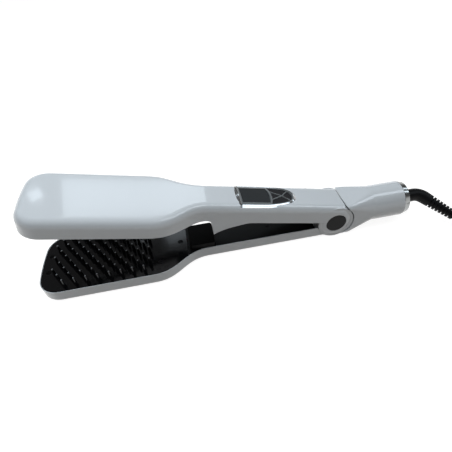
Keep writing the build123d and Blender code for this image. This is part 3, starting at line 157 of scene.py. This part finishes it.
coil_route = []
for angle in range(coil_start, coil_end + 1, coil_step):
    reach = after_changes(angle, outer_row, row_changes) / cos(radians(coil_step / 2))
    height = after_changes(angle, cord_radius, layer_changes)
    side = Vector((cos(radians(angle)), sin(radians(angle))))
    place = coil_centre - reach * side
    coil_route.append((place.x, place.y, height))
print("turns of the coil", round((coil_end - coil_start) / 360, 1), "points", len(coil_route))

# %% [markdown]
# The curve itself is only a guide. It has no thickness, so turning it into a mesh gives bare
# points along its line, and these are what the tube and the length go by.


# %% The cord's centre line
def smooth_line(name, route, steps):
    """Points along the NURBS curve that a route pulls at."""
    curve = bpy.data.curves.new(name, "CURVE")
    curve.dimensions = "3D"
    spline = curve.splines.new("NURBS")
    spline.points.add(len(route) - 1)
    for point, place in zip(spline.points, route):
        point.co = (*place, 1)
    spline.order_u = 3
    spline.use_endpoint_u = True
    spline.resolution_u = steps
    guide = bpy.data.objects.new(name, curve)
    bpy.context.scene.collection.objects.link(guide)
    bpy.context.view_layer.update()
    mesh = bpy.data.meshes.new_from_object(guide)
    line = [vertex.co.copy() for vertex in mesh.vertices]
    bpy.data.objects.remove(guide)
    bpy.data.meshes.remove(mesh)
    return line


cord_line_steps = 5
cord_line = smooth_line("cord_guide", lead_route + coil_route + tail_route, cord_line_steps)
cord_length = sum((b - a).length for a, b in zip(cord_line, cord_line[1:]))
print("cord", len(cord_line), "points,", round(cord_length, 3), "m")

# %% [markdown]
# A curve could carry a round bevel by itself, but here rings of vertices are laid along the line
# to make a mesh. Each ring is turned from the one before by the least turn that the line asks
# for, which keeps the tube from twisting.


# %% Meshes from rings of vertices
def add_mesh(name, vertices, faces):
    """New smooth-shaded mesh object in the scene."""
    mesh = bpy.data.meshes.new(name)
    mesh.from_pydata(vertices, [], faces)
    mesh.validate()
    for polygon in mesh.polygons:
        polygon.use_smooth = True
    piece = bpy.data.objects.new(name, mesh)
    bpy.context.scene.collection.objects.link(piece)
    return piece


def faces_between(rings, ring_size):
    """Four-sided faces between neighbouring rings of vertices."""
    faces = []
    for ring in range(rings - 1):
        for side in range(ring_size):
            low = ring * ring_size + side
            next_low = ring * ring_size + (side + 1) % ring_size
            faces.append((low, next_low, next_low + ring_size, low + ring_size))
    return faces


cord_sides = 20
print("faces between two rings of the cord", len(faces_between(2, cord_sides)))


# %% The cord's tube
def tube_along(name, line, radius, sides):
    """Round tube with closed ends along a line of points."""
    forward = (line[1] - line[0]).normalized()
    across = forward.orthogonal().normalized()
    vertices = []
    for index, centre in enumerate(line):
        ahead = line[min(index + 1, len(line) - 1)]
        behind = line[max(index - 1, 0)]
        new_forward = (ahead - behind).normalized()
        across.rotate(forward.rotation_difference(new_forward))
        forward = new_forward
        over = forward.cross(across)
        for side in range(sides):
            turn = 2 * pi * side / sides
            vertices.append(centre + radius * (cos(turn) * across + sin(turn) * over))
    faces = faces_between(len(line), sides)
    faces.append(tuple(reversed(range(sides))))
    faces.append(tuple(range(len(vertices) - sides, len(vertices))))
    return add_mesh(name, vertices, faces)


cord = tube_along("mains_cord", cord_line, cord_radius, cord_sides)
print("cord faces", len(cord.data.polygons))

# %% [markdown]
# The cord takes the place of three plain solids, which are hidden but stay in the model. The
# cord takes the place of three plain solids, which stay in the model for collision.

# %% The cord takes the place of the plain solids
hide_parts("cord_lead", "cord_coil", "cord_tail")
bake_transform(cord)
print("cord ends in the plug at", [round(value, 3) for value in cord_line[-1]])

# %% [markdown]
# ## Table and room
#
# The brush lies on a pale table, and the table bends up into a wall all round, as paper does in
# a studio, so that no view shows an edge behind the brush. The outline of the table and wall is
# turned once round the middle, which takes fewer faces than a subdivided sheet. The table lies
# a hair below the brush, so that the two surfaces don't fight for the same place.

# %% Outline of the table and its cove
cove_reach, cove_bend, cove_height = 6.0, 0.8, 1.9
cove_lead_in = 0.2
cove_turns = range(0, 91, 10)
cove_outline = [(cove_reach - cove_bend - cove_lead_in, 0)]
for turn in cove_turns:
    level_part, upright_part = sin(radians(turn)), 1 - cos(radians(turn))
    cove_outline.append((cove_reach - cove_bend * (1 - level_part), cove_bend * upright_part))
cove_outline.append((cove_reach, cove_height))
print("points on the outline", len(cove_outline))

# %% Table and cove
cove_sides = 72
table_drop = 0.00005
table_vertices = [(0, 0, 0)]
for reach, height in cove_outline:
    for side in range(cove_sides):
        turn = 2 * pi * side / cove_sides
        table_vertices.append((reach * cos(turn), reach * sin(turn), height))
table_faces = [(0, 1 + side, 1 + (side + 1) % cove_sides) for side in range(cove_sides)]
for ring in range(len(cove_outline) - 1):
    for side in range(cove_sides):
        low, next_low = (1 + ring * cove_sides + step % cove_sides for step in (side, side + 1))
        table_faces.append((low, low + cove_sides, next_low + cove_sides, next_low))
table = add_mesh("table", table_vertices, table_faces)
table.location.z = -table_drop
print("table", [round(size, 2) for size in table.dimensions], "m")

# %% [markdown]
# The table has to look white without lighting the brush from below. Its paint is a middling
# grey, so it throws back little light. A glow that only the camera, mirrors and glass can see
# lifts it to white: the Light Path node tells such rays from the ones that carry light, and
# matte surfaces never see the glow. The shadow of the brush still shows in the paint. The glow
# fades up the wall, which keeps the wall out of the black parts that would mirror it.


# %% Helpers for finishes
def new_finish(name):
    """Empty finish: its material, its node tree and its main shader."""
    material = bpy.data.materials.new(name)
    material.use_nodes = True
    tree = material.node_tree
    return material, tree, tree.nodes["Principled BSDF"]


def set_inputs(node, inputs):
    """Fixed values for some inputs of a shader node."""
    for name, value in inputs.items():
        node.inputs[name].default_value = value


def add_node(tree, kind, inputs=None, **settings):
    """New shader node with some of its settings and some of its inputs."""
    node = tree.nodes.new(kind)
    for key, value in settings.items():
        setattr(node, key, value)
    set_inputs(node, inputs or {})
    return node


print("materials that came with the model", len(bpy.data.materials))

# %% Pale table finish
glow_full, glow_least = 0.9, 0.1
fade_start = 0.7
table_finish, table_tree, table_shader = new_finish("pale_table")
set_inputs(table_shader, {
    "Base Color": (0.37, 0.345, 0.32, 1),
    "Roughness": 0.8,
    "Specular IOR Level": 0.1,
    "Emission Color": (1, 1, 1, 1),
})
light_path = add_node(table_tree, "ShaderNodeLightPath")
seen = add_node(table_tree, "ShaderNodeMath", operation="MAXIMUM")
seen_or_clear = add_node(table_tree, "ShaderNodeMath", operation="MAXIMUM")
glow = add_node(table_tree, "ShaderNodeMath", operation="MULTIPLY")
wall_place = add_node(table_tree, "ShaderNodeTexCoord")
wall_height = add_node(table_tree, "ShaderNodeSeparateXYZ")
fade = add_node(table_tree, "ShaderNodeMapRange", interpolation_type="SMOOTHSTEP", inputs={
    "From Min": fade_start, "From Max": cove_height, "To Min": glow_full, "To Max": glow_least,
})
links = table_tree.links
links.new(wall_place.outputs["Object"], wall_height.inputs["Vector"])
links.new(wall_height.outputs["Z"], fade.inputs["Value"])
links.new(fade.outputs["Result"], glow.inputs[1])
links.new(light_path.outputs["Is Camera Ray"], seen.inputs[0])
links.new(light_path.outputs["Is Glossy Ray"], seen.inputs[1])
links.new(seen.outputs[0], seen_or_clear.inputs[0])
links.new(light_path.outputs["Is Transmission Ray"], seen_or_clear.inputs[1])
links.new(seen_or_clear.outputs[0], glow.inputs[0])
links.new(glow.outputs[0], table_shader.inputs["Emission Strength"])
table.data.materials.append(table_finish)
print("table finish", len(table_tree.nodes), "nodes")

# %% [markdown]
# ## Lamps
#
# White plastic shows its shape only by what it mirrors, so the light comes from soft panels and
# the room itself stays dim, which keeps the black parts black. Area lamps are used because
# their edges are soft and their size can be read in the mirrors. A sun lamp would give hard
# shadows, and a picture of a room would put that room into every shiny surface.

# %% Room
room = bpy.data.worlds.new("studio_room")
room.use_nodes = True
set_inputs(room.node_tree.nodes["Background"], {"Color": (1, 1, 1, 1), "Strength": 0.15})
bpy.context.scene.world = room
bpy.context.scene.view_settings.view_transform = "Standard"
print("room", room.name)

# %% A soft panel
daylight = (0.82, 0.92, 1.0)


def soft_panel(name, place, target, width, height, power, lean=0):
    """Rectangular daylight lamp that faces a target and leans to one side by some degrees."""
    data = bpy.data.lights.new(name, "AREA")
    data.shape = "RECTANGLE"
    data.size = width
    data.size_y = height
    data.energy = power
    data.color = daylight
    lamp = bpy.data.objects.new(name, data)
    lamp.location = place
    facing = Vector(target) - Vector(place)
    turned = facing.to_track_quat("-Z", "Y") @ Quaternion((0, 0, 1), radians(lean))
    lamp.rotation_euler = turned.to_euler()
    bpy.context.scene.collection.objects.link(lamp)
    return lamp


print("colour of the light", daylight)

# %% [markdown]
# A wide panel overhead gives the even light, and is hidden from mirrors. The window panel hangs
# behind the brush, just where the viewer sees it mirrored in the top of the paddle, and a small
# pane beside it leaves a glint near the paddle's tip. The right panel is what the near side of
# the display's rim mirrors, and two narrow ones give the collar its pair of bright lines.

# %% Soft panels
overhead = soft_panel(
    "overhead_panel", place=(-0.35, 0.31, 0.6), target=(-0.35, 0.31, 0),
    width=1.0, height=1.17, power=5.9,
)
overhead.visible_glossy = False
soft_panel(
    "window_panel", place=(-0.01, 0.902, 0.75), target=(-0.12, 0, 0.06),
    width=0.50, height=0.14, power=0.47, lean=16,
)
soft_panel(
    "right_panel", place=(0.62, -0.15, 0.98), target=(0, 0, 0.04),
    width=0.6, height=0.3, power=1.9, lean=90,
)
soft_panel(
    "small_pane", place=(-0.344, 0.9, 0.821), target=(-0.235, 0, 0.075),
    width=0.045, height=0.035, power=0.018, lean=35,
)
for name, across in (("side_window_far", 0.17), ("side_window_near", -0.03)):
    soft_panel(
        name, place=(0.66, across, 0.36), target=(0.064, 0, 0.03),
        width=0.085, height=0.15, power=0.12,
    )

# %% [markdown]
# ## Moulded plastic
#
# Moulded plastic is never perfectly even: the mould leaves a faint ripple, and handling leaves
# patches that shine a little less. Both could be painted, but noise textures need no picture
# and fit any shape. A wide soft noise varies the roughness, and a fine one feeds a bump node.
# Sharp edges of a real moulding are broken by a small radius. A Bevel node rounds them in the
# shading, so the solids stay as they are.

# %% Moulded plastic
plastic_ior = 1.5
coat_roughness = 0.04
patch_scale, patch_detail = 35, 4
ripple_detail, ripple_strength = 2, 0.4
edge_samples = 4


def moulded(
    name, color, gloss, patches=0.04, ripple=0.0002, ripple_size=90,
    edge=0.0003, coat=0.0, shine=0.5,
):
    """Plastic finish with uneven gloss, a faint ripple and softened edges."""
    material, tree, shader = new_finish(name)
    set_inputs(shader, {
        "Base Color": (*color, 1),
        "IOR": plastic_ior,
        "Specular IOR Level": shine,
        "Coat Weight": coat,
        "Coat Roughness": coat_roughness,
    })
    place = add_node(tree, "ShaderNodeTexCoord")
    wide = add_node(tree, "ShaderNodeTexNoise", {"Scale": patch_scale, "Detail": patch_detail})
    uneven = add_node(
        tree, "ShaderNodeMapRange", {"To Min": gloss - patches, "To Max": gloss + patches}
    )
    fine = add_node(tree, "ShaderNodeTexNoise", {"Scale": ripple_size, "Detail": ripple_detail})
    bump = add_node(tree, "ShaderNodeBump", {"Strength": ripple_strength, "Distance": ripple})
    soft_edge = add_node(tree, "ShaderNodeBevel", {"Radius": edge}, samples=edge_samples)
    links = tree.links
    links.new(place.outputs["Object"], wide.inputs["Vector"])
    links.new(place.outputs["Object"], fine.inputs["Vector"])
    links.new(wide.outputs["Fac"], uneven.inputs["Value"])
    links.new(uneven.outputs["Result"], shader.inputs["Roughness"])
    links.new(fine.outputs["Fac"], bump.inputs["Height"])
    links.new(soft_edge.outputs["Normal"], bump.inputs["Normal"])
    links.new(bump.outputs["Normal"], shader.inputs["Normal"])
    return material


print("each plastic has patches of scale", patch_scale)

# %% [markdown]
# The shells are glossy white, with a thin clear coat that carries the sharp reflections. The
# bed is glossy black. The covers between the arms and the swivel are satin black, with a fine
# mould grain and little shine, and the caps on the hinge are a lighter charcoal. The cord's
# vinyl is duller still. Black plastic needs an almost black paint here, because its shine
# already adds some grey.

# %% White and black plastics
gloss_white = moulded(
    "gloss_white", (0.67, 0.675, 0.68), gloss=0.10, patches=0.03,
    ripple=0.00002, ripple_size=60, edge=0.0004, coat=0.4,
)
gloss_black = moulded(
    "gloss_black", (0.002, 0.002, 0.0025), gloss=0.12, patches=0.03,
    ripple=0.00004, ripple_size=70, coat=0.1, shine=0.35,
)
satin_black = moulded(
    "satin_black", (0.004, 0.005, 0.0055), gloss=0.42, patches=0.06,
    ripple=0.00006, ripple_size=900, shine=0.2,
)
charcoal = moulded(
    "charcoal", (0.015, 0.015, 0.015), gloss=0.4, patches=0.05,
    ripple=0.00006, ripple_size=900, shine=0.1,
)
bristle_nylon = moulded(
    "bristle_nylon", (0.006, 0.006, 0.007), gloss=0.14, patches=0.03,
    ripple=0.00003, ripple_size=700, edge=0.0002,
)
cable_vinyl = moulded(
    "cable_vinyl", (0.006, 0.006, 0.0065), gloss=0.42, patches=0.06,
    ripple=0.00004, ripple_size=600, shine=0.12,
)
outer_plastics = (gloss_white, gloss_black, satin_black, charcoal, bristle_nylon, cable_vinyl)
print("outer plastics", [finish.name for finish in outer_plastics])

# %% [markdown]
# The bristles are black nylon. Their round tips get a painted highlight, a paler grey for the
# glints of light on them. The tip could be a piece of its own, but one finish that fades from
# black to grey with the height does the same with no more faces. The height is read in the
# piece's own coordinates, which move with it, so the painted highlight keeps to the tips in every
# pose.

# %% Painted highlight on the bristle tips
highlight_start, highlight_full = 0.0182, 0.0186
# The paler grey at the tips is a painted highlight for the glints of light on them.
painted_tip_highlight = (0.3, 0.31, 0.33, 1)
tip_tree = bristle_nylon.node_tree
tip_shader = tip_tree.nodes["Principled BSDF"]
tip_place = add_node(tip_tree, "ShaderNodeTexCoord")
tip_height = add_node(tip_tree, "ShaderNodeSeparateXYZ")
highlight_share = add_node(
    tip_tree, "ShaderNodeMapRange", interpolation_type="SMOOTHSTEP",
    inputs={"From Min": highlight_start, "From Max": highlight_full},
)
nylon_black = tip_shader.inputs["Base Color"].default_value
# The mix lays the painted highlight over the black nylon towards the tips.
tip_highlight_mix = add_node(
    tip_tree, "ShaderNodeMix", data_type="RGBA", inputs={"A": nylon_black, "B": painted_tip_highlight}
)
tip_tree.links.new(tip_place.outputs["Object"], tip_height.inputs["Vector"])
tip_tree.links.new(tip_height.outputs["Z"], highlight_share.inputs["Value"])
tip_tree.links.new(highlight_share.outputs["Result"], tip_highlight_mix.inputs["Factor"])
tip_tree.links.new(tip_highlight_mix.outputs["Result"], tip_shader.inputs["Base Color"])
print("bristle tips fade from", highlight_start, "to", highlight_full)

# %% [markdown]
# The pieces inside are seen only through gaps: the tank and its hoses, wires, heaters, the mica
# sheets and the circuit boards. They get plain finishes of the same kind.

# %% Plastics inside the brush
tank_plastic = moulded("tank_plastic", (0.72, 0.78, 0.82), gloss=0.2)
silicone = moulded("silicone", (0.6, 0.6, 0.58), gloss=0.45)
red_wire = moulded("red_wire", (0.45, 0.05, 0.04), gloss=0.4)
ceramic = moulded("ceramic", (0.78, 0.76, 0.72), gloss=0.5)
mica = moulded("mica", (0.6, 0.52, 0.38), gloss=0.45)
board_green = moulded("board_green", (0.03, 0.16, 0.07), gloss=0.35)
inner_plastics = (tank_plastic, silicone, red_wire, ceramic, mica, board_green)
print("inner plastics", [finish.name for finish in inner_plastics])

# %% [markdown]
# The four keys are glossy black, and the frame of the display is painted silver rather than
# plated. The window over the display is smoked plastic. The display behind it is off, so
# nothing shows through, and an opaque dark gloss does what a slow clear material would do.

# %% Keys, display frame and smoked window
key_black = moulded(
    "key_black", (0.012, 0.012, 0.015), gloss=0.14, patches=0.03,
    ripple=0.00003, ripple_size=80, edge=0.0002, coat=0.5,
)
bezel_silver = moulded(
    "bezel_silver", (0.17, 0.175, 0.175), gloss=0.3,
    ripple=0.00003, ripple_size=500, coat=0.3,
)
smoked_glass = moulded(
    "smoked_glass", (0.022, 0.025, 0.027), gloss=0.08, patches=0.02,
    ripple=0.00001, ripple_size=50, edge=0.0002, coat=0.6,
)
print("display", [finish.name for finish in (key_black, bezel_silver, smoked_glass)])

# %% [markdown]
# ## Metals
#
# Metals differ from plastics in that they have no paint colour of their own, only a tinted
# mirror. Pins and plates are brushed along the part, which a noise does when it is stretched
# far along one axis. The collar and the display's rim are dark chrome: nearly black where they
# mirror the dim room and white where they mirror a panel.

# %% Metals
plain_grain, brushed_grain = (60, 60, 60), (20, 900, 900)
least_gloss, most_gloss = 0.7, 1.4
grain_detail, grain_strength, grain_depth = 3, 0.3, 0.00002


def metal(name, color, gloss, brushed=False, edge=0.00025):
    """Metal finish, brushed along the part when asked, with softened edges."""
    material, tree, shader = new_finish(name)
    set_inputs(shader, {"Base Color": (*color, 1), "Metallic": 1})
    place = add_node(tree, "ShaderNodeTexCoord")
    grain = brushed_grain if brushed else plain_grain
    stretch = add_node(tree, "ShaderNodeMapping", {"Scale": grain})
    noise = add_node(tree, "ShaderNodeTexNoise", {"Scale": 1, "Detail": grain_detail})
    uneven = add_node(
        tree, "ShaderNodeMapRange", {"To Min": gloss * least_gloss, "To Max": gloss * most_gloss}
    )
    bump = add_node(tree, "ShaderNodeBump", {"Strength": grain_strength, "Distance": grain_depth})
    soft_edge = add_node(tree, "ShaderNodeBevel", {"Radius": edge}, samples=edge_samples)
    links = tree.links
    links.new(place.outputs["Object"], stretch.inputs["Vector"])
    links.new(stretch.outputs["Vector"], noise.inputs["Vector"])
    links.new(noise.outputs["Fac"], uneven.inputs["Value"])
    links.new(uneven.outputs["Result"], shader.inputs["Roughness"])
    links.new(noise.outputs["Fac"], bump.inputs["Height"])
    links.new(soft_edge.outputs["Normal"], bump.inputs["Normal"])
    links.new(bump.outputs["Normal"], shader.inputs["Normal"])
    return material


dark_chrome = metal("dark_chrome", (0.33, 0.34, 0.34), gloss=0.12, edge=0.0006)
rim_chrome = metal("rim_chrome", (0.5, 0.51, 0.52), gloss=0.12, edge=0.0002)
black_steel = metal("black_steel", (0.02, 0.02, 0.022), gloss=0.4)
plate_coating = metal("plate_coating", (0.42, 0.42, 0.43), gloss=0.3, brushed=True)
steel = metal("steel", (0.55, 0.55, 0.56), gloss=0.28, brushed=True)
brass = metal("brass", (0.68, 0.52, 0.26), gloss=0.3)
metals = (dark_chrome, rim_chrome, black_steel, plate_coating, steel, brass)
print("metals", [finish.name for finish in metals])

# %% [markdown]
# ## The chrome rim of the display
#
# Round the display runs a narrow chrome band that slopes down towards the white shell. The
# solid display frame has a plain edge there. A bevel modifier could round that edge, but the
# band stands a little proud and wraps over the shell, so it is a piece of its own. One cross
# section is set up at stations along the outline of the frame, which is made of arcs: a small
# one round the nose, a wide one along each flank, and a tight one at each front corner.
# Distances are in millimetres, forwards along the arm from its hinge and across it.


# %% Stations round the display's rim
def arc(centre_x, centre_y, radius, start, end, steps):
    """Stations on an arc: place along the arm, place across it, and the way outwards."""
    turns = [start + (end - start) * step / steps for step in range(steps + 1)]
    return [(centre_x + radius * cos(t), centre_y + radius * sin(t), t) for t in turns]


rim_half, rim_front, rim_shoulder, rim_tip, rim_corner = 13.2, -87.5, -68.0, -38.3, 3.0
nose_shoulder = 2.7
nose_steps, flank_steps, corner_steps = 12, 10, 6
front_places = (7.5, 5.0, 2.5, 0.0)
nose_radius = rim_half - nose_shoulder
nose_x = rim_tip - nose_radius
run = nose_x - rim_shoulder
flank_radius = (run**2 + rim_half**2 - nose_radius**2) / (2 * (rim_half - nose_radius))
join_turn = atan2(flank_radius - rim_half, run)
upper_side = (
    arc(nose_x, 0, nose_radius, 0, join_turn, nose_steps)[:-1]
    + arc(rim_shoulder, rim_half - flank_radius, flank_radius, join_turn, pi / 2, flank_steps)
    + arc(rim_front + rim_corner, rim_half - rim_corner, rim_corner, pi / 2, pi, corner_steps)
    + [(rim_front, across, pi) for across in front_places]
)
lower_side = [(x, -across, -turn) for x, across, turn in reversed(upper_side[1:-1])]
rim_stations = upper_side + lower_side
print("stations on the rim", len(rim_stations))

# %% [markdown]
# The upper arm stands open by 13.3 degrees, so the stations are written in the arm's own
# directions and turned into the room at the end. The frame is crowned across the arm, and the
# band follows that crown. The cross section is a list of corners, each so far outwards and
# upwards from the edge of the frame. Faces that meet at more than 20 degrees keep a sharp edge.

# %% Chrome rim
arm_tilt = radians(13.3)
arm_hinge = Vector((0, 0, 0.0155))
arm_along = Vector((cos(arm_tilt), 0, -sin(arm_tilt)))
arm_across = Vector((0, 1, 0))
arm_over = Vector((sin(arm_tilt), 0, cos(arm_tilt)))
crown_height, crown_bend = 16.9, 52.1
millimetres_per_metre = 1000
rim_sharp_angle = radians(20)
rim_profile = [
    (-1.6, 0.45), (-1.3, 0.62), (0.9, -0.6), (1.15, -0.95),
    (1.15, -1.9), (-0.6, -1.9), (-1.6, -0.4),
]
rim_vertices = []
for x, across, turn in rim_stations:
    height = crown_height - crown_bend + (crown_bend**2 - across**2) ** 0.5
    for outward, upward in rim_profile:
        place = (
            (x + outward * cos(turn)) * arm_along
            + (across + outward * sin(turn)) * arm_across
            + (height + upward) * arm_over
        )
        rim_vertices.append(arm_hinge + place / millimetres_per_metre)
rim_faces = []
for station in range(len(rim_stations)):
    here = station * len(rim_profile)
    ahead = (station + 1) % len(rim_stations) * len(rim_profile)
    for corner in range(len(rim_profile)):
        next_corner = (corner + 1) % len(rim_profile)
        rim_faces.append((here + corner, here + next_corner, ahead + next_corner, ahead + corner))
rim = add_mesh("display_rim", rim_vertices, rim_faces)
rim.data.set_sharp_from_angle(angle=rim_sharp_angle)
rim.data.materials.append(rim_chrome)
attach(rim, "upper_arm")
print("rim faces", len(rim_faces))

# %% [markdown]
# ## The stop pad between the necks
#
# Under the shallow arch of the upper arm a black pad stands on the lower arm. It keeps the two
# necks apart when the brush is pressed shut. A cube with a bevel modifier would do, but a stack
# of rounded outlines gives a straight side, a rounded shoulder and a flat top in one go. Each
# level says how far its outline is drawn in and how high it lies over the cover.

# %% Outlines of the stop pad
pad_front, pad_back, pad_half, pad_corner = -0.1250, -0.1035, 0.0124, 0.0025
pad_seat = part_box("lower_handle_cover")[1][2]
pad_levels = [(0, 0), (0, 0.0048), (0.0001, 0.0052), (0.0004, 0.00545), (0.0008, 0.0055)]
pad_quarters = [(1, 1), (-1, 1), (-1, -1), (1, -1)]
pad_steps = 6
pad_vertices = []
for inset, height in pad_levels:
    for quarter, (ahead, across) in enumerate(pad_quarters):
        centre_x = (pad_back if ahead > 0 else pad_front) - ahead * pad_corner
        centre_y = across * (pad_half - pad_corner)
        for step in range(pad_steps + 1):
            turn = (quarter + step / pad_steps) * pi / 2
            reach = pad_corner - inset
            pad_vertices.append(
                (centre_x + reach * cos(turn), centre_y + reach * sin(turn), pad_seat + height)
            )
print("levels of the pad", len(pad_levels), "points", len(pad_vertices))

# %% [markdown]
# The pad is soft dull rubber, the blackest finish on the brush. It is made like the moulded
# plastics, but its shine is turned down. It rides with the lower arm.

# %% Stop pad
pad_sharp_angle = radians(40)
pad_ring = len(pad_quarters) * (pad_steps + 1)
pad_faces = [tuple(reversed(range(pad_ring)))]
pad_faces += faces_between(len(pad_levels), pad_ring)
pad_faces.append(tuple(range(len(pad_vertices) - pad_ring, len(pad_vertices))))
pad = add_mesh("stop_pad", pad_vertices, pad_faces)
pad.data.set_sharp_from_angle(angle=pad_sharp_angle)
pad_rubber = moulded(
    "pad_rubber", (0.0015, 0.0015, 0.0015), gloss=0.6, patches=0.06,
    ripple=0.00005, ripple_size=800, shine=0.1,
)
pad.data.materials.append(pad_rubber)
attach(pad, "root")
print("stop pad", [round(size * millimetres_per_metre, 1) for size in pad.dimensions], "mm")

# %% [markdown]
# ## Which piece gets which finish
#
# The list below gives each solid its finish by name. The plain material that came with the
# piece is taken off and the new one put on. The shape of the piece isn't touched.

# %% Finishes on the solids
finish_of = {
    gloss_white: ["upper_arm_shell", "lower_arm_shell", "rear_housing"],
    gloss_black: ["brush_bed"],
    satin_black: [
        "upper_inner_cover", "plate_frame", "steam_manifold", "lcd_module", "tact_switches",
        "lower_handle_cover", "swivel_socket", "swivel_core", "coil_tie",
    ],
    charcoal: [
        "fill_stopper", "micro_pump", "hinge_cap_front", "hinge_cap_rear", "power_components",
    ],
    bristle_nylon: ["bristle_comb"],
    cable_vinyl: ["strain_relief", "plug_body", "cord_lead", "cord_coil", "cord_tail"],
    tank_plastic: ["water_tank"],
    silicone: ["steam_tube", "tank_seal", "water_tube"],
    red_wire: ["heater_leads", "mains_leads"],
    ceramic: ["plate_heater", "bed_heater"],
    mica: ["plate_insulator", "bed_insulator"],
    board_green: ["main_board", "power_board"],
    key_black: [
        "power_button", "temperature_up_button", "temperature_down_button", "steam_button",
    ],
    bezel_silver: ["display_bezel"],
    smoked_glass: ["display_window"],
    dark_chrome: ["cord_collar"],
    plate_coating: ["steam_plate", "steam_generator"],
    black_steel: ["upper_cover_screws", "bed_screws", "handle_cover_screws"],
    steel: [
        "board_screws", "tongue_screws", "hinge_pin", "arm_spring", "thermal_cutout", "plug_pins",
    ],
    brass: ["hinge_bushes"],
}
for finish, names in finish_of.items():
    for name in names:
        nodes[name].data.materials.clear()
        nodes[name].data.materials.append(finish)
cord.data.materials.append(cable_vinyl)
bare = sorted(set(nodes) - {name for names in finish_of.values() for name in names})
print("solids without a finish", bare)
